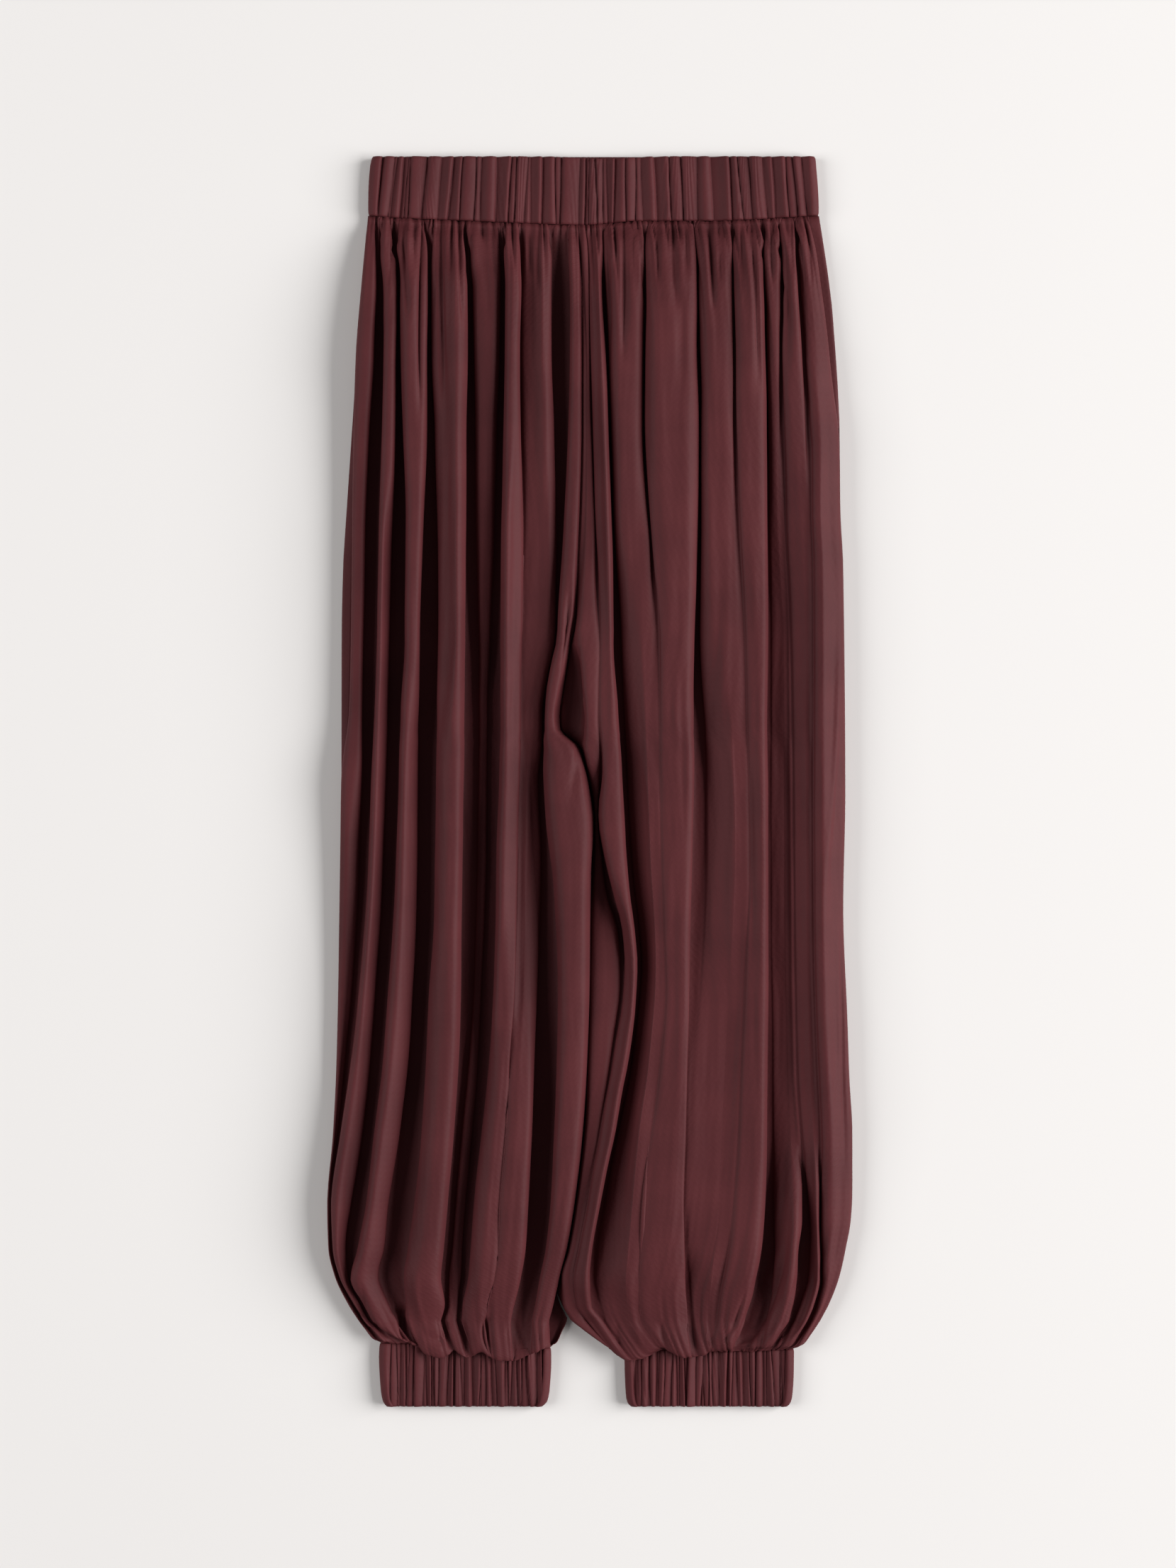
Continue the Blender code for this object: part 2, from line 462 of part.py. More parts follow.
def band_loop(band, down, inset, tuck, layer_gap):
    """One closed loop round a flattened band: front layer, end, back layer, other end.

    Gives x, z and how far each point belongs to the front layer.
    """
    left = glide(band.sides, down, 1) + inset
    right = glide(band.sides, down, 2) - inset
    places = tuck_places(band.tucks, band.spread)
    crest = np.arange(len(places)) % 2
    top = BAND_HEIGHT - layer_gap
    middle = BAND_HEIGHT / 2
    rounding = middle - layer_gap
    front_x = mix(left + rounding, right - rounding, places)
    front_x -= band.fan * (down - band.fan_centre) * np.sin(2 * np.pi * places)
    turn = np.radians(END_TURN)
    right_x = right - rounding + rounding * np.cos(turn)
    left_x = left + rounding - rounding * np.cos(turn)
    x = np.concatenate((front_x, right_x, front_x[::-1], left_x))
    z = np.concatenate((top - tuck * crest, middle + (top - middle) * np.sin(turn),
                        layer_gap + tuck * crest[::-1], middle - (top - middle) * np.sin(turn)))
    return x, z, np.clip((z - layer_gap) / (top - layer_gap), 0, 1)


def band_level(band, level, inset, tuck, layer_gap):
    """Points of one ring of the wall, at one of the four levels from the upper edge down."""
    down = glide(band.top if level in UPPER_LEVELS else band.bottom, 0.0)
    x, z, front = band_loop(band, down, inset, tuck, layer_gap)
    upper = glide(band.top, x) + band.front_dip * front * np.exp(-((x - DIP_CENTRE) / DIP_HALF) ** 2)
    lower = glide(band.bottom, x)
    downs = {"upper edge": upper, "below the upper edge": upper + BAND_EDGE_ROUND,
             "above the lower edge": lower - BAND_EDGE_ROUND, "lower edge": lower}
    return to_world(x, downs[level], z)


def band_solid(band):
    """Rings of points for a band's wall: tucked outside, plain inside, joined at both edges."""
    plain = TUCK_DEPTH + BAND_WALL
    rings = [band_level(band, "upper edge", 0.8, 0.35 * TUCK_DEPTH, 0.8),
             band_level(band, "below the upper edge", 0.0, TUCK_DEPTH, 0.0),
             band_level(band, "above the lower edge", 0.0, TUCK_DEPTH, 0.0),
             band_level(band, "lower edge", 0.3, 0.7 * TUCK_DEPTH, 0.3),
             band_level(band, "lower edge", plain, 0.0, plain),
             band_level(band, "upper edge", plain, 0.0, plain)]
    return np.array(rings)


def add_mesh(name, rows, wrap, material, collection):
    """A mesh through a lattice of points, open or closed round both ways."""
    body = bmesh.new()
    verts = [[body.verts.new(point) for point in row] for row in rows]
    row_count = len(verts)
    column_count = len(verts[0])
    for i in range(row_count if wrap else row_count - 1):
        for j in range(column_count if wrap else column_count - 1):
            upper = verts[i]
            lower = verts[(i + 1) % row_count]
            k = (j + 1) % column_count
            body.faces.new((upper[j], lower[j], lower[k], upper[k]))
    mesh = bpy.data.meshes.new(name)
    body.to_mesh(mesh)
    body.free()
    mesh.shade_smooth()
    mesh.materials.append(material)
    thing = bpy.data.objects.new(name, mesh)
    collection.objects.link(thing)
    return thing


def add_sheet(name, rows, material, collection, faces_up=True):
    """A single thickness of cloth: its outer face through the points, its wall behind them."""
    thing = add_mesh(name, rows if faces_up else rows[:, ::-1], False, material, collection)
    wall = thing.modifiers.new("Cloth wall", "SOLIDIFY")
    wall.thickness = CLOTH * MM
    wall.offset = -1.0
    return thing


def cloth_material():
    material = bpy.data.materials.new("gathered_cloth")
    material.use_nodes = True
    shader = material.node_tree.nodes["Principled BSDF"]
    shader.inputs["Base Color"].default_value = (0.085, 0.03, 0.032, 1.0)
    shader.inputs["Roughness"].default_value = 0.8
    shader.inputs["Metallic"].default_value = 0.0
    return material


RIGHT_FRONT_EDGE = tuple((row.down, row.left) for row in RIGHT_LEG_FOLDS[0].rows)
LEFT_FRONT_EDGE = tuple((row.down, row.right) for row in LEFT_LEG_FOLDS[-1].rows)

LEGS = (
    Leg("right_leg", RIGHT_LEG_FOLDS,
        (RIGHT_FRONT_EDGE, SIDE_RISE, 0.0, HALF_GAP),
        (RIGHT_INSEAM, FRONT_INNER_RISE, HALF_GAP, HALF_GAP),
        (RIGHT_SIDE, SIDE_RISE, 0.0, -HALF_GAP),
        (RIGHT_BACK_INSEAM, BACK_INNER_RISE, HALF_GAP, 0.0),
        (RIGHT_FRONT_EDGE, RIGHT_BACK_INSEAM), RIGHT_CUFF_SIDES, RIGHT_CUFF_LINE, RIGHT_DROP, RIGHT_TROUGHS),
    Leg("left_leg", LEFT_LEG_FOLDS,
        (LEFT_INSEAM, FRONT_INNER_RISE, HALF_GAP, HALF_GAP),
        (LEFT_FRONT_EDGE, POCKET_RISE, 0.0, HALF_GAP),
        (LEFT_INSEAM, BACK_INNER_RISE, HALF_GAP, 0.0),
        (LEFT_SIDE, SIDE_RISE, 0.0, -HALF_GAP),
        (LEFT_INSEAM, LEFT_SIDE), LEFT_CUFF_SIDES, LEFT_CUFF_LINE, LEFT_DROP, LEFT_TROUGHS),
)

BANDS = (
    Band("waistband", WAIST_SIDES, ((-200, 0), (200, 0)),
         tuple((x, down - HALF_GAP) for x, down in WAIST_LINE), WAIST_DIP, WAIST_FAN, WAIST_SEAM / 2,
         WAIST_TUCKS, 0.4),
    Band("cuff_right", RIGHT_CUFF_SIDES, tuple((x, down + HALF_GAP) for x, down in RIGHT_CUFF_LINE),
         ((-200, LENGTH), (200, LENGTH)), 0.0, 0.0, 0.0, CUFF_TUCKS, 1.3),
    Band("cuff_left", LEFT_CUFF_SIDES, tuple((x, down + HALF_GAP) for x, down in LEFT_CUFF_LINE),
         ((-200, LENGTH), (200, LENGTH)), 0.0, 0.0, 0.0, CUFF_TUCKS, 2.1),
)


def build():
    for thing in list(bpy.data.objects):
        bpy.data.objects.remove(thing, do_unlink=True)
    collection = bpy.data.collections.new("Balloon trousers")
    bpy.context.scene.collection.children.link(collection)
    cloth = cloth_material()
    for leg in LEGS:
        add_sheet("front_" + leg.name, front_panel(leg), cloth, collection)
        add_sheet("back_" + leg.name, back_panel(leg), cloth, collection, faces_up=False)
    add_sheet("pocket_facing_left", pocket_facing(LEGS[1]), cloth, collection)
    for band in BANDS:
        add_mesh(band.name, band_solid(band), True, cloth, collection)


build()
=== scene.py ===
# Gathered balloon trousers laid flat on their back, seen from straight above.
# Lengths in the dictionaries are millimetres. "down" is the distance below the top of the
# waistband, x runs from the middle towards the wearer's left, and the floor is at z = 0.
import math

import bmesh
import bpy
import numpy as np
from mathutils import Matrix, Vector, noise


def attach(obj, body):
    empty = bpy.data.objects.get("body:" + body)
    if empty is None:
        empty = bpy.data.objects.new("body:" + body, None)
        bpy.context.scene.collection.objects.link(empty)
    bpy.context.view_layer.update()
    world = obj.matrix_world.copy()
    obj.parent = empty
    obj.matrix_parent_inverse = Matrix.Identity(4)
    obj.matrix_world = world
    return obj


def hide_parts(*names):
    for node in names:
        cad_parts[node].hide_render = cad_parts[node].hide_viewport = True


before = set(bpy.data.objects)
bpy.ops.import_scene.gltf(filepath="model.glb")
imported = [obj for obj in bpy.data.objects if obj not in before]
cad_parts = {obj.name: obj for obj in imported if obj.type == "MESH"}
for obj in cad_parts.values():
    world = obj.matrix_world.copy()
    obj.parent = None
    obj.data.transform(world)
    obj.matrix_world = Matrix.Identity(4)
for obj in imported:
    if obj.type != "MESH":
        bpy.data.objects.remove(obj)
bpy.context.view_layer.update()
print("frame loaded")

trousers = {
    "length": 1059.0,
    "clothThickness": 0.7,
    "halfGap": 0.15,  # half of the gap that pieces keep at a seam
    "seamRise": 5.3,  # height where front and back meet at the sides
    "sideRound": 7.0,  # how far in from its sides a flattened tube is round
    "waistSeam": 54.0,
    "waistSag": 120.0,  # how far down the rows follow the sag of the waist seam
    "waistLay": 9.8,  # height of the front where it is gathered flat into the waistband
    "seamRelief": 0.17,  # how much of the folds' height above or below 20 the waist seam keeps
    "foldsStart": 17.0,  # how far below the waist seam the folds are at full height
    "overhangStart": 34.0,
    "hemStart": 985.0,
    "cuffLay": 11.2,
    "hemPuff": 12.5,
    "hemSides": 0.12,  # share of the width at each side over which the puff grows
    "hemTuck": 2.5,  # how far above the cuff's seam the cloth turns under at the sides
}

# How the cloth turns under above a cuff: share of the way in to the cuff's width, down to the
# lowest line and back to the seam, then shares of the height and of the folds' relief
hemTurn = (
    (0.34, 0.55, 0.0, 0.94, 0.85), (0.64, 0.95, 0.0, 0.66, 0.6), (0.86, 1.0, 0.35, 0.2, 0.4),
    (1.0, 1.0, 1.0, 0.0, 0.0))

waistLine = (
    (-188, 50), (-163, 52), (-115, 54), (-67, 56), (-3, 58), (17, 56.4), (41, 54.6), (100, 54.6),
    (137, 53.4), (161, 52), (195, 50))

# Centre seam as far as the crotch, then the line between the two legs: down, x
middleLine = (
    (54, -9.5), (108, -6.5), (168, -5.4), (228, -5.4), (300, -7), (348, -10), (384, -11.4), (402, -12.8),
    (411, -15.6), (438, -20), (462, -24), (474, -25.4), (484, -25), (491, -20), (497, -11.5), (504, -7),
    (520, -3), (540, 0.6), (558, 3.4), (576, 3), (600, 1.4), (648, 0.6), (708, 0), (768, -1.8), (828, -6),
    (888, -13), (924, -18.8), (948, -25), (960, -28))
# Heights of the panels' edges along the inner and the side seams: down, z
frontInnerRise = (
    (54, 7.2), (84, 12), (108, 16), (228, 23), (312, 24), (384, 22), (411, 19), (438, 12.5), (474, 9),
    (495, 7.5), (510, 5.8), (540, 5.3), (610, 5.3), (660, 15), (700, 21), (770, 21), (800, 12), (825, 5.3),
    (1059, 5.3))
backInnerRise = ((54, 0), (440, 0), (515, 5.3)) + tuple(row for row in frontInnerRise if row[0] >= 610)
sideRise = ((54, 5.3), (1059, 5.3))
pocketRise = ((54, 7.9), (212, 7.9), (232, 5.3), (1059, 5.3))


def hermite(start, end, startSlope, endSlope, span, t):
    return (start * (2 * t**3 - 3 * t**2 + 1) + end * (3 * t**2 - 2 * t**3)
            + span * (startSlope * (t**3 - 2 * t**2 + t) + endSlope * (t**3 - t**2)))


def glide(table, at, column=1):
    # reads a table's column on a smooth curve that never passes its own points
    stations = np.array([row[0] for row in table], float)
    values = np.array([row[column] for row in table], float)
    spans = np.diff(stations)
    slopes = np.diff(values) / spans
    tangents = np.zeros(len(values))
    tangents[0] = slopes[0]
    tangents[-1] = slopes[-1]
    for i in range(1, len(slopes)):
        if slopes[i - 1] * slopes[i] > 0:
            tangents[i] = 2 * slopes[i - 1] * slopes[i] / (slopes[i - 1] + slopes[i])
    at = np.clip(at, stations[0], stations[-1])
    i = np.clip(np.searchsorted(stations, at, side="right") - 1, 0, len(spans) - 1)
    t = (at - stations[i]) / spans[i]
    return hermite(values[i], values[i + 1], tangents[i], tangents[i + 1], spans[i], t)


def ease(t):
    t = np.clip(t, 0.0, 1.0)
    return t * t * (3 - 2 * t)


def mix(a, b, share):
    return a + (b - a) * share


def curveThrough(knots, steps):
    # a smooth curve through a line of points, or through whole lines of them at once
    knots = np.asarray(knots, float)
    gaps = np.sqrt(np.linalg.norm(np.diff(knots, axis=0), axis=-1, keepdims=True)) + 1e-3
    slopes = np.diff(knots, axis=0) / gaps
    tangents = np.empty_like(knots)
    tangents[0] = slopes[0]
    tangents[-1] = slopes[-1]
    tangents[1:-1] = (slopes[:-1] * gaps[1:] + slopes[1:] * gaps[:-1]) / (gaps[:-1] + gaps[1:])
    steps = np.broadcast_to(steps, len(gaps))
    i = np.repeat(np.arange(len(gaps)), steps)
    t = np.concatenate([np.arange(count) / count for count in steps])
    t = t.reshape((-1,) + (1,) * (knots.ndim - 1))
    curve = hermite(knots[i], knots[i + 1], tangents[i], tangents[i + 1], gaps[i], t)
    return np.concatenate((curve, knots[-1:]))


def arcShares(x, z):
    steps = np.hypot(np.diff(x), np.diff(z))
    return np.concatenate(([0.0], np.cumsum(steps))) / steps.sum()


def layHeight(x, left, right, edge, middle):
    # a flattened tube's layer: round at its two ends and level between them
    reach = np.clip(np.minimum(x - left, right - x) / trousers["sideRound"], 0.0, 1.0)
    return edge + (middle - edge) * np.sqrt(1 - (1 - reach) ** 2)


def levelLine(x, down):
    # a row of the legs, which follows the sag of the waist seam and stays half a gap clear of it
    fade = 1 - ease((down - trousers["waistSeam"]) / trousers["waistSag"])
    sag = (glide(waistLine, x) - trousers["waistSeam"]) * fade
    return down + sag + (trousers["halfGap"] if down == trousers["waistSeam"] else 0.0)


def place(x, down, z):
    return np.stack([x, trousers["length"] / 2 - down + 0 * x, z + 0 * x], axis=-1)


def outward(points, facesUp):
    # unit normals of a lattice whose columns run along +x and whose rows run down the garment
    normal = np.cross(np.gradient(points, axis=1), -np.gradient(points, axis=0))
    normal /= np.linalg.norm(normal, axis=-1, keepdims=True) + 1e-9
    return normal if facesUp else -normal


def creaseRelief(creases, x, down):
    # soft ridges (+) and troughs (-), each from one point to another with a sideways bow
    relief = np.zeros_like(x)
    for startX, startDown, endX, endDown, bow, width, height in creases:
        length = math.hypot(endX - startX, endDown - startDown)
        alongX = (endX - startX) / length
        alongDown = (endDown - startDown) / length
        t = np.clip(((x - startX) * alongX + (down - startDown) * alongDown) / length, 0, 1)
        aside = (x - startX) * alongDown - (down - startDown) * alongX - bow * 4 * t * (1 - t)
        relief += height * np.sin(np.pi * t) ** 0.7 * np.exp(-((aside / width) ** 2))
    return relief


def gatherRelief(share, fromSeam, count, height, reach, seed):
    # tucks that start at a seam and die out in the cloth, made uneven by odd wave numbers and a seed
    wander = 0.9 * np.sin(11 * share * math.pi + seed) + 0.6 * np.sin(23 * share * math.pi + 2 * seed)
    tuck = np.abs(np.sin(math.pi * count * share + wander)) ** 0.8 - 0.55
    bunch = np.abs(np.sin(math.pi * count * 0.37 * share + 1.4 * wander + seed)) ** 0.8 - 0.55
    uneven = 0.7 + 0.3 * np.sin(17 * share * math.pi + 3 * seed)
    reaches = reach * (0.55 + 0.9 * np.sin(29 * share * math.pi + 1.7 * seed) ** 2)
    fromSeam = np.maximum(fromSeam, 0)
    relief = uneven * tuck * np.exp(-((fromSeam / reaches) ** 1.4))
    relief += 0.8 * bunch * np.exp(-((fromSeam / (2.4 * reaches)) ** 1.4))
    return height * relief * (0.6 + 0.4 * ease(fromSeam / 9))


def crumple(share, down, seed, height):
    # long faint unevenness that runs with the folds
    relief = np.zeros_like(share)
    for i in range(share.shape[0]):
        for j in range(share.shape[1]):
            spot = Vector((share[i, j] * 21, down[i, j] / 120, seed))
            relief[i, j] = noise.noise(spot) + 0.45 * noise.noise(spot * 2.3)
    return height * relief


def clothPiece(name, points, material, facesUp=True, wrap=(False, False), thickness=None):
    # a lattice of points made into cloth: bmesh grid, moved, with its own wall and its UV map in metres
    rowCount, columnCount = points.shape[:2]
    body = bmesh.new()
    bmesh.ops.create_grid(body, x_segments=columnCount - 1, y_segments=rowCount - 1, size=0.5)
    body.verts.ensure_lookup_table()
    across = np.concatenate((np.zeros((rowCount, 1)),
                             np.cumsum(np.linalg.norm(np.diff(points, axis=1), axis=-1), axis=1)), axis=1)
    along = np.concatenate((np.zeros((1, columnCount)),
                            np.cumsum(np.linalg.norm(np.diff(points, axis=0), axis=-1), axis=0)), axis=0)
    spots = {}
    for vert in body.verts:
        column = round((vert.co.x + 0.5) * (columnCount - 1))
        row = round((0.5 - vert.co.y) * (rowCount - 1))
        vert.co = points[row, column] * 0.001
        spots[vert] = (across[row, column] * 0.001, along[row, column] * 0.001)
    uvLayer = body.loops.layers.uv.new("cloth")
    for face in body.faces:
        for loop in face.loops:
            loop[uvLayer].uv = spots[loop.vert]
    if any(wrap):
        bmesh.ops.remove_doubles(body, verts=body.verts[:], dist=1e-6)
        bmesh.ops.recalc_face_normals(body, faces=body.faces[:])
    elif not facesUp:
        bmesh.ops.reverse_faces(body, faces=body.faces[:])
    mesh = bpy.data.meshes.new(name)
    body.to_mesh(mesh)
    body.free()
    mesh.shade_smooth()
    mesh.materials.append(material)
    piece = bpy.data.objects.new(name, mesh)
    bpy.context.scene.collection.objects.link(piece)
    if thickness:
        wall = piece.modifiers.new("Cloth wall", "SOLIDIFY")
        wall.thickness = thickness * 0.001
        wall.offset = -1.0
    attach(piece, "root")
    return piece


def colour(hexValue):
    # an sRGB hex colour as the linear values that Blender's sockets take
    parts = [int(hexValue[i:i + 2], 16) / 255 for i in (1, 3, 5)]
    return [p / 12.92 if p <= 0.04045 else ((p + 0.055) / 1.055) ** 2.4 for p in parts] + [1.0]


def addNode(tree, kind, links=(), settings=(), **sockets):
    # links: (own input, other node's output); sockets: plain values by input name
    node = tree.nodes.new(kind)
    for name, value in settings:
        setattr(node, name, value)
    for name, value in sockets.items():
        node.inputs[name.replace("_", " ")].default_value = value
    for ownInput, otherOutput in links:
        tree.links.new(otherOutput, node.inputs[ownInput])
    return node


crepe = {
    "colour": "#55272a",
    "shade": "#4c2225",
    "sheen": "#c46a6a",
    "shadesPerMetre": 14.0,  # how often the dye drifts between its two colours
    "threadSpacing": 0.9,  # really about 0.35, drawn coarser so that it shows
    "grainSize": 1.6,
    "roughness": 0.62,
}


def crepeDeChine(name, facts, bumpHeight):
    # viscose crepe, woven from twisted yarn: a dull satin face with a fine pebbled grain, and a
    # soft halo of light where the surface turns away
    material = bpy.data.materials.new(name)
    material.use_nodes = True
    tree = material.node_tree
    shader = tree.nodes["Principled BSDF"]
    spot = addNode(tree, "ShaderNodeTexCoord").outputs
    bandsPerScale = 20  # a wave texture's stripes in a metre at a scale of 1, near enough
    weave = []
    for turn in (0.0, math.pi / 2):
        turned = addNode(tree, "ShaderNodeMapping", [("Vector", spot["UV"])], Rotation=(0, 0, turn))
        wave = addNode(tree, "ShaderNodeTexWave", [("Vector", turned.outputs["Vector"])],
                       Scale=1000 / facts["threadSpacing"] / bandsPerScale, Distortion=1.2, Detail=1.0)
        weave.append(wave.outputs["Fac"])
    threads = addNode(tree, "ShaderNodeMath", [(0, weave[0]), (1, weave[1])], [("operation", "MULTIPLY")])
    grain = addNode(tree, "ShaderNodeTexNoise", [("Vector", spot["UV"])],
                    Scale=1000 / facts["grainSize"], Detail=3.0, Roughness=0.6)
    surface = addNode(tree, "ShaderNodeMath",
                      [(0, threads.outputs["Value"]), (1, grain.outputs["Fac"])], [("operation", "ADD")])
    bump = addNode(tree, "ShaderNodeBump", [("Height", surface.outputs["Value"])],
                   Strength=0.35, Distance=bumpHeight * 0.001)
    cloudy = addNode(tree, "ShaderNodeTexNoise", [("Vector", spot["Object"])],
                     Scale=facts["shadesPerMetre"], Detail=4.0, Roughness=0.55)
    spread = addNode(tree, "ShaderNodeMapRange", [("Value", cloudy.outputs["Fac"])],
                     From_Min=0.35, From_Max=0.65)
    dye = addNode(tree, "ShaderNodeValToRGB", [("Fac", spread.outputs["Result"])])
    dye.color_ramp.elements[0].color = colour(facts["shade"])
    dye.color_ramp.elements[1].color = colour(facts["colour"])
    tree.links.new(dye.outputs["Color"], shader.inputs["Base Color"])
    tree.links.new(bump.outputs["Normal"], shader.inputs["Normal"])
    shader.inputs["Roughness"].default_value = facts["roughness"]
    shader.inputs["IOR"].default_value = 1.46
    shader.inputs["Specular IOR Level"].default_value = 0.15
    shader.inputs["Sheen Weight"].default_value = 0.05
    shader.inputs["Sheen Roughness"].default_value = 0.45
    shader.inputs["Sheen Tint"].default_value = colour(facts["sheen"])
    return material


def fold(name, leans, under, *rows, lip=0.34):
    # leans: down, lean, where 1 slopes gently up from the left and -1 gently down to the right
    # under: how far a steep side overhangs its foot
    # lip: share of its height that a gentle side rises at once, before it slopes
    return {"name": name, "leans": leans + ((1060, leans[-1][1]),), "under": under, "rows": rows, "lip": lip}


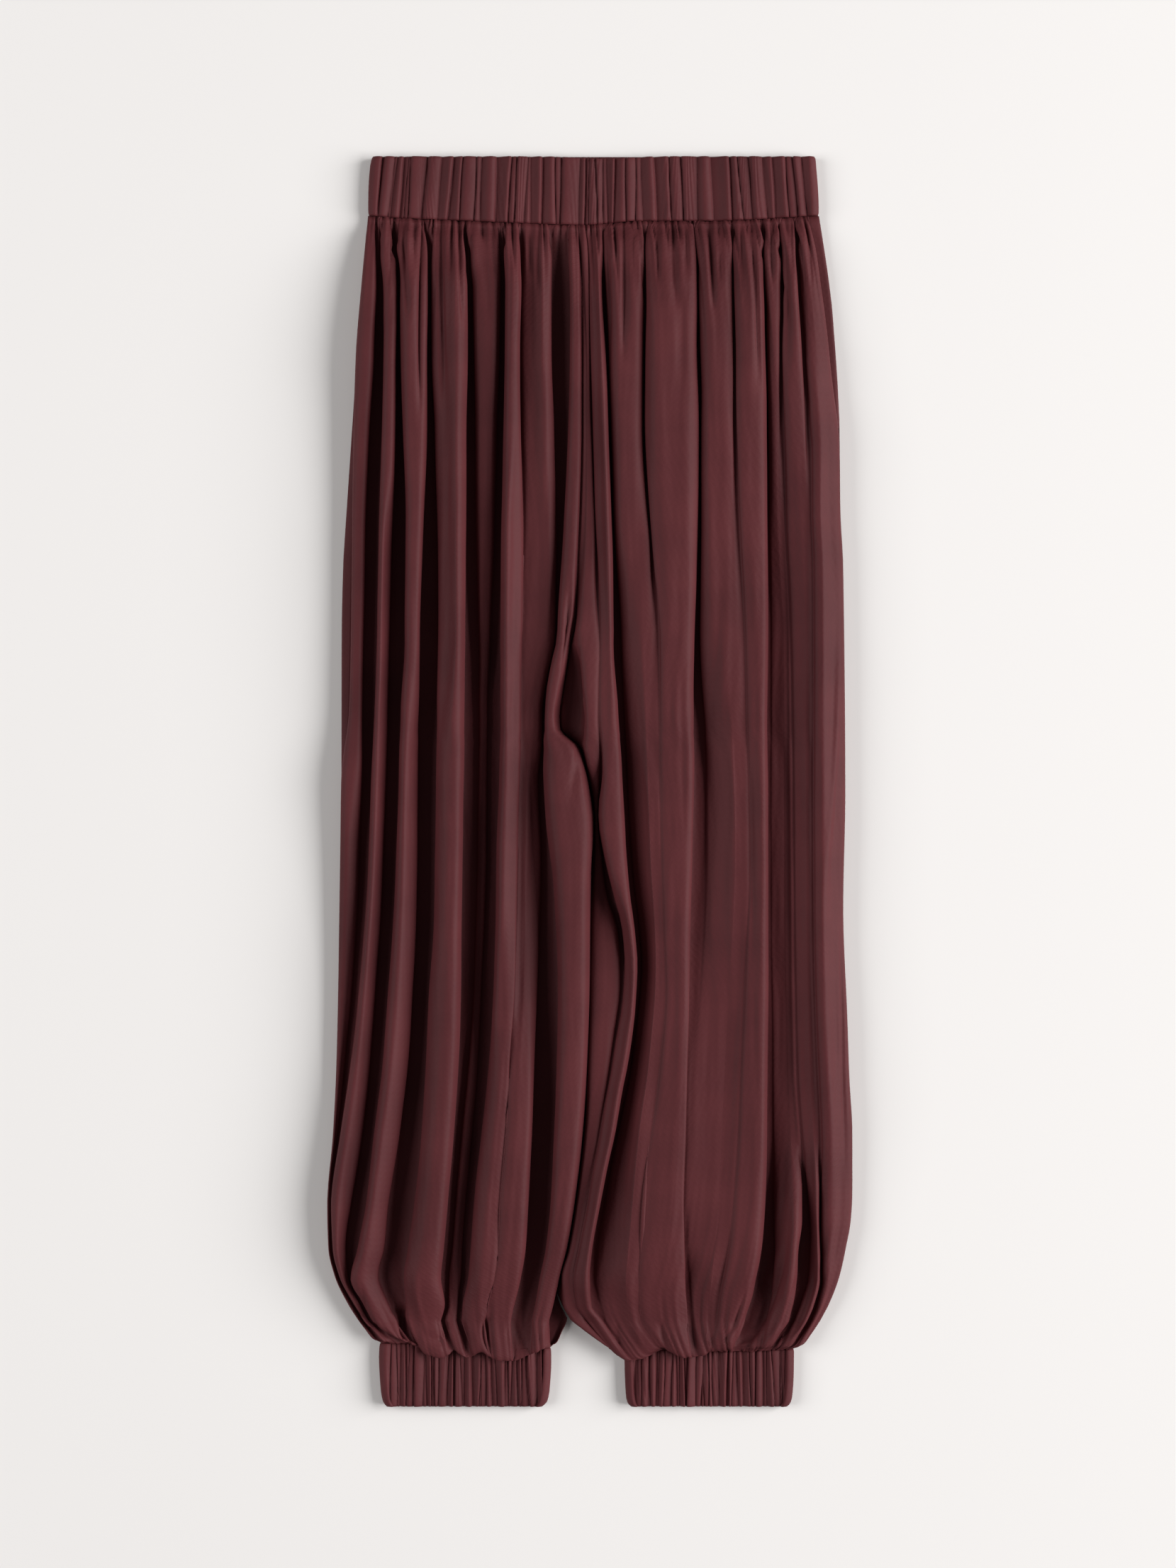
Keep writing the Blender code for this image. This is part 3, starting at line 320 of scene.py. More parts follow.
# Folds of the wearer's right leg, from the side seam inwards. Each row: down, left edge,
# right edge, height of the crest, height of the valley on the fold's right.
rightLegFolds = (
    fold("side", ((54, 0), (500, 0), (590, -0.7)), 1.0,
        (54, -188, -181, 10, 9.8), (84, -190.5, -181, 18, 14), (112, -193, -181, 23, 13),
        (168, -197.5, -182, 25, 12), (228, -199.5, -186, 23, 12), (312, -201, -189, 21, 12),
        (408, -202, -191, 21, 12), (468, -203.5, -192.5, 21, 12), (528, -210, -193, 23, 12),
        (588, -211, -194.5, 20, 12), (648, -212, -197, 17, 12), (708, -213, -201, 15, 12),
        (768, -214.5, -207, 14, 12), (828, -217.5, -213.5, 13, 13), (888, -222.3, -219.5, 14, 16),
        (924, -221.4, -218.8, 14, 15), (948, -216, -213, 14, 15), (972, -204.6, -201, 14, 15),
        (985, -196.5, -193, 13, 14)),
    fold("outer", ((54, 0), (260, 0), (340, -0.7)), 1.6,
        (54, -178, -170, 10, 9.8), (84, -176.5, -166, 20, 13), (112, -174.5, -163, 25, 12),
        (168, -173.8, -163.4, 28, 11.5), (228, -175, -164, 28, 11.5), (312, -178, -166, 28, 11.5),
        (408, -179.5, -169, 27.5, 12), (528, -184.5, -171.5, 26, 12), (588, -186.8, -173.5, 26, 12),
        (648, -190, -176, 26, 12), (708, -195, -180.5, 25.5, 12), (768, -202, -185, 25, 12),
        (828, -210.5, -191, 25, 12), (888, -218, -201, 24.5, 12), (924, -217, -206, 23, 13),
        (948, -211.5, -204, 20, 14), (972, -199.5, -194, 18, 15), (985, -191.5, -187, 17, 15)),
    fold("second", ((54, 0), (400, 0), (520, -0.6)), 1.8,
        (54, -165, -140, 10, 9.8), (84, -161, -137.4, 22, 13), (112, -159, -137, 28, 14.5),
        (168, -159.5, -137.4, 31, 15), (228, -158, -137, 31, 14), (312, -155.5, -140, 31, 11.5),
        (408, -155.5, -143.5, 29.5, 11.5), (468, -159.5, -144, 29, 11.5), (588, -163, -145.5, 28.5, 11.5),
        (648, -165.5, -146.5, 28.5, 11.5), (708, -170, -149, 28.5, 11.5), (768, -174.5, -153, 28.5, 11.5),
        (828, -182, -160.5, 28, 12), (888, -189, -170, 27.5, 12), (924, -196, -173, 26.5, 13),
        (948, -202, -178, 25, 14), (972, -191, -169, 22, 14), (985, -184, -163, 20, 14.5)),
    fold("middle", ((54, 1), (400, 1), (520, 0.35)), 2.0,
        (54, -136, -106, 10, 9.8), (84, -134.6, -104.5, 23, 12), (112, -134.6, -103, 29, 11),
        (168, -134.8, -103, 31, 11), (228, -132.4, -104, 32, 11), (408, -129, -105, 33, 11),
        (528, -129.6, -106.6, 33, 11), (648, -132, -108, 34, 11), (708, -136, -108.5, 34, 11),
        (768, -139, -110.5, 34, 11), (828, -142.5, -114.5, 33, 11), (888, -149, -120, 31, 11.5),
        (924, -154, -123.5, 30, 12), (948, -158, -126, 28, 12.5), (972, -156, -123, 24, 14),
        (985, -155.5, -126, 20, 15), lip=0.55),
    fold("sunk", ((54, 0),), 1.0,
        (54, -105, -78, 10, 9.8), (84, -101, -77, 19, 13), (112, -98.5, -76, 23, 13),
        (168, -98, -76.4, 24.5, 12.5), (228, -97, -78.5, 23, 11.5), (312, -96, -80.5, 19.5, 11),
        (408, -94, -84, 15, 11), (468, -94, -86, 12, 11), (588, -96, -87, 11.5, 11),
        (708, -99, -91, 11.5, 11), (768, -103, -94, 11.5, 11), (828, -109, -99, 11.5, 11),
        (888, -114.5, -104.5, 11.5, 11), (924, -117.5, -107, 12, 11.5), (948, -120, -108, 12.5, 12),
        (972, -120, -111, 14, 14), (985, -123, -112, 15.5, 15)),
    fold("broad", ((54, 0), (228, -0.3), (320, -1), (640, -0.7), (780, 0.3)), 2.4,
        (54, -74, -60, 10, 9.8), (84, -72, -59.4, 24, 14), (112, -71, -58.4, 28, 16),
        (168, -71.4, -59, 30, 17), (228, -72.4, -58, 31, 19), (318, -74.5, -56, 31, 20.5),
        (408, -75.2, -57, 28.5, 20.5), (498, -75.6, -58, 27.5, 20.5), (588, -78.5, -60, 28, 21),
        (648, -79.5, -61, 29, 23), (708, -81.6, -63, 29, 26.5), (768, -86, -67, 28, 28.5),
        (828, -92.5, -71, 27.5, 30.5), (888, -98.5, -76, 27.5, 30.5), (924, -101, -77, 27.5, 29),
        (948, -103, -80, 26.5, 26.5), (972, -108, -86, 23, 21.5), (985, -109, -88, 21, 18)),
    fold("shelf", ((54, 1), (330, 1), (480, 0), (588, -1), (708, -0.5), (800, 0)), 1.4,
        (54, -60, -34, 10, 9.8), (84, -59, -33.6, 18, 12), (112, -58.4, -33, 22, 12),
        (168, -58.6, -32.5, 24, 11.5), (228, -57.5, -30, 24.5, 12), (318, -55.5, -28.4, 23, 12),
        (360, -56, -29, 21.5, 13), (408, -56.5, -29.5, 20.5, 14), (440, -57, -36, 20, 12),
        (468, -57.5, -40, 19.5, 11), (498, -58, -40.5, 19, 10.5), (528, -59, -43, 19, 10.5),
        (588, -60, -40.5, 19, 10.5), (648, -61, -41.5, 20.5, 10.5), (708, -63, -44, 23.5, 10.5),
        (768, -67, -46.5, 26.5, 11), (828, -71, -48.5, 28, 11.5), (888, -76, -52, 28, 12),
        (924, -77, -54, 27, 12.5), (948, -80, -58, 25, 13), (972, -86, -64, 21, 14),
        (985, -88, -67, 18.5, 15), lip=0.45),
    fold("inner", ((54, 0),), 1.4,
        (54, -17, -10, 10, 9.8), (84, -16.8, -8.4, 18, 12), (112, -16.6, -7.4, 23, 13),
        (168, -16.8, -6.6, 25, 14), (228, -18, -6.6, 26, 15), (312, -22, -9, 27, 16),
        (384, -26.5, -13, 28, 15.5), (408, -27.5, -16.5, 28, 14), (432, -33, -20.5, 29, 11.5),
        (456, -37, -26, 29, 9.5), (474, -38, -29, 28, 8.5), (484, -38.5, -28, 28, 8),
        (491, -38.5, -22.5, 28.5, 7.8), (497, -38.5, -14, 29.5, 7.2), (504, -38.5, -9, 30.5, 6.6),
        (520, -38.5, -4.5, 32, 6.2), (540, -38, -0.5, 33, 6), (564, -36.5, 2.5, 33, 6),
        (588, -33.5, 2, 33, 6), (612, -30.5, 0.5, 33, 6), (708, -27, -0.5, 32, 6), (768, -28, -2.5, 31, 6),
        (828, -30, -6.5, 30, 6), (888, -33, -13.5, 28, 6), (924, -37, -19.5, 26, 6),
        (948, -42, -25.5, 24, 6), (972, -46, -31, 22, 6), (985, -49, -34.5, 20, 6)),
)

# Folds of the wearer's left leg, from the middle of the garment outwards
leftLegFolds = (
    fold("inner", ((54, 0),), 0.0,
        (54, -8, -3, 10, 9.8), (84, -6, -1.5, 17, 15), (112, -4.6, -1, 20, 17.5),
        (168, -3.2, 0, 22.5, 19.5), (228, -3.5, 1.5, 24, 20), (312, -5, 4, 25.5, 21.5),
        (384, -9, 6, 28, 29), (411, -12.5, 8, 28.5, 31), (444, -13, 7, 29, 32), (459, -9.5, 6.5, 29, 32),
        (477, -5.5, 6.5, 29, 32), (492, -7, 8, 28.5, 31), (510, -4.0, 9.5, 27.5, 28), (534, 1, 8.5, 22, 18),
        (558, 4.2, 6.8, 16, 13), (588, 3.8, 9.8, 13, 12), (624, 2.2, 14.5, 14, 12.5),
        (660, 1.6, 24, 22.5, 15), (700, 1.2, 26, 25, 21.5), (740, 0.2, 21, 26, 23.5),
        (768, -0.8, 17, 26, 24.5), (828, -4.8, 7, 24.5, 24), (888, -12, -4, 24, 25.5),
        (924, -17.8, -11, 24, 26), (948, -24, -15, 23, 25), (972, -22.5, -12, 19, 20),
        (985, -16, -4, 17, 16.5)),
    fold("ridge", ((54, 1), (450, 1), (530, 0), (600, 0), (650, 0.6), (720, 1)), 2.0,
        (54, -2, 10, 10, 9.8), (84, -1, 10.5, 20, 13), (112, -0.5, 11, 25, 13.5), (168, 0.5, 13.5, 28, 14),
        (228, 2, 15.6, 30, 14), (312, 4.5, 18.5, 31, 15), (420, 8.8, 20.8, 29.5, 15),
        (468, 7.8, 23.8, 30, 15), (516, 10.4, 27, 31, 15), (558, 7.6, 29.4, 31, 15),
        (588, 11.5, 31, 31, 15), (624, 19.5, 33.8, 31, 15), (654, 27, 37.5, 31, 15), (684, 29, 40, 30, 15),
        (720, 27, 38.4, 30, 16), (744, 22, 36, 30, 15), (768, 18.5, 32, 30, 14), (792, 14, 27, 30, 13),
        (828, 8.5, 20.8, 30, 12.5), (864, 1.5, 13.2, 30, 13), (888, -2.5, 8.6, 30, 14),
        (924, -9.5, 2.4, 29, 15.5), (948, -13.5, 0, 28, 17), (972, -11, 1, 24, 17.5),
        (985, -3, 11, 19.5, 17)),
    fold("first short", ((54, 0), (300, 0), (468, 0.7), (588, 1)), 0.8,
        (54, 13, 46, 10, 9.8), (84, 13.5, 46, 21, 13), (112, 14, 46, 25, 12.5), (156, 16, 45, 27, 12.5),
        (228, 17.5, 44.5, 28.5, 14), (300, 20, 48, 28.5, 22), (372, 24, 54, 28, 30),
        (468, 28, 56, 28.2, 33), (588, 34, 58, 28.2, 33.5), (684, 43, 61, 27.8, 32.5),
        (768, 34, 56, 28, 32.5), (828, 22.5, 49, 28.4, 33), (888, 11, 46, 28, 32.5), (924, 5, 44, 27.4, 30),
        (948, 3, 42, 26, 27), (985, 12, 42, 20, 20), lip=0.2),
    fold("long", ((54, 0), (300, 0), (420, 0.2), (560, 0.9)), 2.0,
        (54, 49, 86.5, 10, 9.8), (84, 48, 89, 22, 14), (112, 48, 89.5, 27, 15), (156, 47.5, 90, 30, 15),
        (228, 46.5, 91.5, 32, 16), (324, 52, 90.6, 32, 16.5), (420, 58, 88, 31.5, 17),
        (516, 58.5, 87.2, 31.5, 17.5), (588, 60, 86.4, 31.5, 18.5), (648, 62, 84.4, 31.5, 21.5),
        (708, 64, 83.5, 31, 26), (768, 59, 82.4, 31, 29.5), (828, 51, 81.5, 31, 30.5),
        (876, 45, 80, 30, 29.5), (924, 42, 79.5, 29, 25), (948, 41, 80.4, 27, 19), (985, 43, 84, 23, 18)),
    fold("second short", ((54, 0), (330, 0), (420, 0.3), (560, 1)), 0.8,
        (54, 89, 119, 10, 9.8), (84, 91, 119.5, 22, 15), (112, 92, 120, 26, 17.5),
        (156, 92.5, 120.5, 28, 22), (204, 94, 121, 29, 27), (252, 94, 122, 29.5, 30),
        (312, 94, 124, 29, 31), (408, 92, 128, 29, 32.5), (498, 97, 131, 28, 32),
        (588, 97, 133, 27.6, 32.2), (708, 92, 128, 26.6, 31.4), (768, 85, 126, 26, 31.4),
        (828, 83, 123, 26.6, 31.6), (900, 81, 118, 27, 31), (924, 81, 115, 26.5, 29),
        (948, 83, 111, 25, 25), (985, 87.5, 104, 20, 20), lip=0.2),
    fold("straight", ((54, 0), (300, 0), (420, 0.5), (560, 0.9)), 2.0,
        (54, 121, 145, 10, 9.8), (84, 121.5, 146, 22, 13), (112, 122, 146.5, 27, 13),
        (156, 122.5, 147.5, 29.5, 13.5), (228, 123, 149, 31, 14), (300, 125, 149.5, 31, 15),
        (408, 130, 150.4, 31, 16), (498, 132.5, 149.4, 31, 16), (588, 134.5, 150.2, 31, 16),
        (708, 130, 150.4, 31, 16), (768, 127.5, 150, 31, 16), (828, 125, 149.4, 30.5, 15),
        (876, 121.5, 148, 30, 13), (912, 118, 145.8, 30, 12), (936, 114.5, 142.8, 29, 12),
        (960, 110.5, 138, 27, 12.5), (985, 107, 131.5, 24, 13)),
    fold("third short", ((54, 0), (300, 0.3), (408, 1)), 1.2,
        (54, 147, 160, 10, 9.8), (84, 147.5, 161, 21, 14), (112, 148.5, 161, 24, 17),
        (168, 149.5, 160, 25, 20), (240, 151.5, 161, 23, 21.5), (300, 152, 163, 20, 20),
        (408, 153, 168, 15.6, 18.4), (648, 153, 170, 15, 18.8), (768, 154.5, 172, 15.6, 18.8),
        (828, 154.5, 176, 16, 18.6), (852, 154.5, 178, 19, 17), (876, 154, 179, 25, 15),
        (900, 154.5, 179, 28, 14), (924, 155.5, 176, 28, 13), (960, 153.5, 173.5, 26, 13),
        (985, 148.5, 168, 23, 14)),
    fold("outer", ((54, 0), (240, 0.3), (300, 0.6), (408, 1)), 1.2,
        (54, 162, 173, 10, 9.8), (84, 163, 173.8, 22, 13), (112, 163, 175.2, 26, 15),
        (168, 162, 178.4, 27, 19), (228, 163.5, 182, 26, 23.5), (300, 165, 185, 24, 25),
        (408, 170, 187, 23, 25), (528, 172, 186.6, 22.5, 24), (648, 173, 187, 22.5, 24),
        (768, 175, 190, 22.5, 24), (828, 179, 193, 23, 23.5), (856, 182, 193.5, 23.5, 20),
        (880, 184, 193.5, 24, 15), (912, 186, 194, 24, 14), (948, 184.5, 194.5, 23, 13.5),
        (972, 178, 189, 22, 13.5), (985, 173.5, 184, 20, 14)),
    fold("side", ((54, 0), (120, -0.4), (300, -1)), 0.0,
        (54, 176, 184.8, 10, 9), (84, 177, 191.5, 17, 9), (112, 178.5, 195.6, 20, 9),
        (132, 180, 198.6, 21, 9), (156, 181, 201.6, 23, 9), (180, 182.5, 204, 25, 9),
        (204, 184, 207, 25, 9), (228, 185.5, 210.4, 26, 9), (252, 187, 211.8, 26.5, 9),
        (300, 187, 212.4, 26.5, 9), (348, 188.5, 214.8, 26.5, 9), (540, 188.5, 216.6, 27, 9),
        (636, 189, 214.8, 27, 9), (732, 191, 218.4, 27, 9), (780, 193, 220, 27, 9),
        (828, 195, 222.6, 26, 9), (876, 195.5, 222.6, 24, 9), (900, 195.5, 221.4, 23, 9),
        (924, 196, 217.2, 21, 9), (948, 197, 211.8, 19, 9), (972, 192.5, 202.8, 16, 9),
        (985, 187.5, 196, 14, 9), lip=0.5),
)

# Side outlines, seen from above: down, x
rightSideLine = (
    (54, -188), (108, -192.6), (168, -197.6), (228, -201.6), (300, -206.4), (348, -209.4), (408, -210.6),
    (528, -210.8), (588, -211.2), (708, -213.2), (768, -214.6), (828, -217.6), (876, -221.4), (900, -222.6),
    (924, -221.6), (948, -216.2), (972, -204.8), (985, -196.7))
leftSideLine = (
    (54, 194.4), (84, 199.2), (108, 202.8), (132, 205.8), (156, 207.6), (180, 209.4), (204, 210.8),
    (228, 211.8), (300, 212.4), (348, 214.8), (540, 216.6), (636, 214.8), (732, 218.4), (780, 220),
    (828, 222.6), (876, 222.6), (900, 221.4), (924, 217.2), (948, 211.8), (972, 202.8), (985, 196))
rightInseam = middleLine + ((972, -30.6), (985, -34))
leftInseam = middleLine + ((972, -24), (985, -16.8))
# The backs meet on a calmer line where the fronts turn about the crotch
backMiddleLine = (tuple(row for row in middleLine if row[0] < 402) + ((440, -14.5), (480, -13.5), (510, -7))
                  + tuple(row for row in middleLine if row[0] >= 540))
rightBackInseam = backMiddleLine + ((972, -25.5), (985, -19))
leftBackInseam = backMiddleLine + ((972, -24), (985, -16.8))
troughMiddle = ((54, -9.5), (300, -8), (500, -6), (700, -2), (985, -22))
rightFrontEdge = tuple(row[:2] for row in rightLegFolds[0]["rows"])
leftFrontEdge = tuple((row[0], row[2]) for row in leftLegFolds[-1]["rows"])

# Each leg. Edges of front and back: plan line, height line, how far half the seam gap sets it
# aside, its lift. BackEdges: where the back meets the front. TroughEdges: the lines that its
# troughs lie between. Cuff: down, left, right. Seam: x, down. Drop, the lowest line of the cloth
# over the cuff: x, down. Troughs: share of the way across at the top and at the hem, width,
# height. HemGathers: share of the way across, height. Creases: start x, start down, end x, end
# down, bow, half width, height.
rightLeg = {
    "folds": rightLegFolds,
    "first": (rightFrontEdge, sideRise, 0.0, 0.15),
    "last": (rightInseam, frontInnerRise, 0.15, 0.15),
    "backFirst": (rightSideLine, sideRise, 0.0, -0.15),
    "backLast": (rightBackInseam, backInnerRise, 0.15, 0.0),
    "backEdges": (rightFrontEdge, rightBackInseam),
    "troughEdges": (rightSideLine, troughMiddle),
    "cuff": ((1004, -177.6, -33), (1020, -178.8, -32.6), (1045, -177.4, -34), (1055, -175.6, -36),
             (1059, -173.4, -39)),
    "seam": ((-178, 1005), (-130, 1006), (-80, 1010), (-33, 1009)),
    "drop": (
        (-178, 1002), (-166, 1003), (-157, 999), (-148, 1003), (-139, 1007), (-130, 1015), (-120, 1018),
        (-110, 1011), (-99, 1018), (-88, 1013), (-76, 1020), (-62, 1021), (-51, 1015), (-44, 1014),
        (-34, 1007)),
    "troughs": (
        (0.16, 0.10, 13, 2.8), (0.31, 0.27, 18, 3.6), (0.50, 0.45, 14, 3.0), (0.68, 0.64, 20, 3.8),
        (0.86, 0.83, 12, 2.4)),
    "columnStep": 1.34,
    "gathers": 42,
    "hemGathers": ((0, 2.2), (0.2, 1.0), (0.6, 1.0), (0.85, 1.8), (1, 2.2)),
    "seed": 1.3,
    "creases": (
        (-166, 44, -166, 112, 0, 2, -2.4), (-158.5, 44, -153, 140, -1, 1.9, -4.1),
        (-148, 48, -147, 108, 0, 1.7, -2.2), (-141.8, 42, -142, 224, 0, 2.8, -6.2),
        (-125.5, 42, -122.5, 206, -1, 2, -4.6), (-118, 46, -116, 108, 0, 1.6, -2.4),
        (-112, 44, -106.5, 140, 1, 1.8, -4.1), (-90.6, 44, -85, 140, 1, 2, -3.2),
        (-82, 46, -79, 104, 0, 1.6, -2.4), (-66, 46, -63.5, 98, 0, 1.6, -3),
        (-58.5, 46, -58.5, 116, 0, 1.5, -3), (-50.5, 46, -51, 104, 0, 1.6, -2.4),
        (-43.5, 46, -43.5, 116, 0, 1.5, -3), (-26, 46, -27, 120, 1, 1.8, -2.4),
        (-8.4, 56, -5.6, 188, 0, 1.3, -3), (-138, 60, -136, 210, 1, 2.2, 0.8),
        (-9, 492, -22, 562, 3, 2.4, -2.6), (-18, 372, -19.5, 442, 0, 2.4, -5),
        (-169, 978, -153, 981, 2, 1.8, -2), (-139, 1000, -122, 1004, 1, 2.6, -3),
        (-158, 972, -155, 1004, -2, 2.4, -6), (-191, 955, -190, 986, 0, 1.6, -1.8),
        (-64, 985, -52, 1012, -2, 2.6, -2.6), (-146, 940, -138, 996, -3, 2.6, 1.6),
        (-108, 985, -104, 1010, 1, 2.2, -2.4), (-168, 960, -156, 1000, -3, 2.4, 1.6),
        (-88, 984, -85, 1012, -2, 2.8, -4.6), (-120, 985, -132, 1004, 3, 2.6, -2.4),
        (-60, 930, -74, 1000, 2, 3, 1.2)),
    "backCreases": (
        (-150, 70, -156, 300, 3, 4, 1.4), (-60, 90, -52, 420, -3, 5, 1.6),
        (-180, 420, -186, 760, -4, 5, 1.8), (-110, 600, -104, 940, 4, 5, 1.5)),
}
leftLeg = {
    "folds": leftLegFolds,
    "first": (leftInseam, frontInnerRise, 0.15, 0.15),
    "last": (leftFrontEdge, pocketRise, 0.0, 0.15),
    "backFirst": (leftBackInseam, backInnerRise, 0.15, 0.0),
    "backLast": (leftSideLine, sideRise, 0.0, -0.15),
    "backEdges": (leftBackInseam, leftSideLine),
    "troughEdges": (troughMiddle, leftSideLine),
    "cuff": ((1010, 29.2, 173.2), (1030, 29.6, 173), (1050, 30.6, 171.8), (1056, 31.8, 170.4),
             (1059, 33.6, 168.6)),
    "seam": ((29, 1009), (60, 1011), (110, 1012), (174, 1010)),
    "drop": (
        (29, 1012), (36, 1017), (44, 1020), (53, 1019), (61, 1013), (67, 1008), (73, 1012), (82, 1017),
        (92, 1017), (101, 1011), (125, 1008), (150, 1007), (173, 1008)),
    "troughs": (
        (0.14, 0.16, 12, 2.6), (0.33, 0.34, 19, 3.8), (0.49, 0.53, 13, 2.8), (0.69, 0.72, 18, 3.6),
        (0.85, 0.90, 13, 2.6)),
    "columnStep": 1.2,
    "gathers": 46,
    "hemGathers": ((0, 1.0), (0.3, 0.9), (0.42, 2.2), (0.7, 3.0), (1, 3.0)),
    "seed": 4.1,
    "creases": (
        (13.5, 44, 14.5, 190, 1, 3, -3.5), (28.4, 42, 28, 170, 1, 1.9, -4.3),
        (34.5, 44, 39.5, 128, 0, 1.7, -3.5), (21.5, 46, 21.5, 100, 0, 1.6, -2.2),
        (57.5, 46, 57, 112, 0, 1.6, -2.4), (69, 44, 73, 132, 0, 1.8, -4.1),
        (77, 110, 77, 214, 0, 4.5, -2.6), (81.5, 46, 82, 104, 0, 1.6, -2.7),
        (101, 42, 104, 132, 0, 1.9, -4.3), (110, 46, 110, 108, 0, 1.6, -2.7),
        (128, 46, 129, 106, 0, 1.6, -2.7), (135.4, 42, 142.4, 200, 1, 1.9, -4.3),
        (153.3, 44, 153.6, 108, 0, 1.7, -3.2), (165, 46, 165, 190, 1, 4, -3.5),
        (171, 46, 171.6, 104, 0, 1.6, -2.4), (183, 50, 188, 110, 0, 1.6, -2.4),
        (135, 60, 137, 200, 0, 2.2, 0.8), (211, 396, 197, 612, 3, 2.4, 1.6),
        (76, 430, 78, 560, 1, 3.5, -1), (84, 470, 86, 620, 0, 3, 1),
        (134, 500, 136, 690, 1, 2.6, -2), (213, 640, 216, 860, -1, 1.4, -1.8),
        (-15, 414, -10.5, 502, 0, 5.5, -11.5), (143, 944, 158, 966, -2, 2, -2.6),
        (150, 930, 122, 1002, 4, 2, -2.6), (166, 915, 138, 1002, 5, 2, -2.4),
        (181, 900, 155, 1002, 6, 2, -2.6), (192, 925, 170, 1002, 5, 1.8, -2.4),
        (131, 955, 112, 1004, 3, 1.8, -2.2), (158, 925, 131, 1000, 4, 2.4, 1.8),
        (174, 905, 147, 1000, 6, 2.4, 1.8), (24, 985, 24, 1014, 0, 2, -1.6),
        (60, 985, 66, 1012, -1, 2.2, -2.6), (86, 980, 92, 1016, -1, 2, -2),
        (34, 940, 44, 1008, -3, 3, 1.2)),
    "backCreases": (
        (60, 80, 66, 320, 3, 4, 1.4), (150, 90, 158, 380, -3, 5, 1.6), (40, 520, 30, 860, 4, 5, 1.8),
        (120, 620, 128, 930, -4, 5, 1.5)),
}


def foldKnots(item, down, valleyLeft):
    # seven points across one fold, from its left foot over its crest to its right foot; a steep side
    # passes 0.66 and 0.95 of its height, and a gentle one its lip and half of the rest
    prouder = 5  # crests above 30 gain this, and those below 22 nothing
    deeper = 4.5  # valleys between 11 and 14 lose this, and those above 20 or below 8 nothing
    steepFrom = 9  # a side this high is steep, and a lower one is a soft step
    softFoot = -0.4  # a soft step's foot lies a little out beyond the fold
    left, right, crest, valley = (glide(item["rows"], down, column) for column in (1, 2, 3, 4))
    width = right - left
    lean = glide(item["leans"], down)
    upLeft = max(lean, 0.0)
    upRight = max(-lean, 0.0)
    crest = crest + prouder * ease((crest - 22) / 8)
    valley = valley - deeper * ease((20 - valley) / 6) * ease((valley - 8) / 3)
    under = min(item["under"], 0.28 * width)
    lip = item["lip"]
    steepLeft = ease((crest - valleyLeft) / steepFrom)
    steepRight = ease((crest - valley) / steepFrom)
    footLeft = left + mix(softFoot, under * (1 - upLeft), steepLeft)
    footRight = right - mix(softFoot, under * (1 - upRight), steepRight)
    lipLeft = left + 0.12 * width * (1 - steepLeft)
    lipRight = right - 0.12 * width * (1 - steepRight)
    peak = mix(left, right, 0.5 + 0.2 * lean)
    leftSide = [(mix(lipLeft, left + 0.08 * width, upLeft), mix(valleyLeft, crest, mix(0.66, lip, upLeft))),
                (mix(lipLeft + 0.16 * width, left + 0.42 * width, upLeft),
                 mix(valleyLeft, crest, mix(0.95, 0.5 + 0.5 * lip, upLeft)))]
    rightSide = [(mix(lipRight - 0.16 * width, right - 0.42 * width, upRight),
                  mix(valley, crest, mix(0.95, 0.5 + 0.5 * lip, upRight))),
                 (mix(lipRight, right - 0.08 * width, upRight), mix(valley, crest, mix(0.66, lip, upRight)))]
    return [(footLeft, valleyLeft)] + leftSide + [(peak, crest)] + rightSide + [(footRight, valley)], valley


def edgePoint(edge, down, side):
    line, rise, aside, lift = edge
    return glide(line, down) + side * aside, glide(rise, down) + lift


def frontKnots(leg, down):
    # all the points across a front at one level, from edge to edge
    riser = 1.7  # the cloth rises this much at its edges before it runs on
    first = edgePoint(leg["first"], down, 1)
    last = edgePoint(leg["last"], down, -1)
    knots = []
    valley = first[1]
    for item in leg["folds"]:
        points, valley = foldKnots(item, down, valley)
        knots.extend(points)
    knots[0:1] = [first, (first[0], first[1] + riser)]
    knots[-1:] = [(last[0], last[1] + riser), last]
    return np.array(knots)


def spanSteps(leg):
    # how many columns each span between two knots gets, so that they are about evenly spaced
    sampleLevels = (130, 400, 650, 900)
    spans = np.mean([np.linalg.norm(np.diff(frontKnots(leg, down), axis=0), axis=1)
                     for down in sampleLevels], axis=0)
    return np.maximum(np.round(spans / leg["columnStep"]), 2).astype(int)


def frontSection(leg, down):
    knots = frontKnots(leg, down)
    curve = curveThrough(knots, leg["spanSteps"])
    return np.clip(curve[:, 0], knots[0, 0], knots[-1, 0]), curve[:, 1]


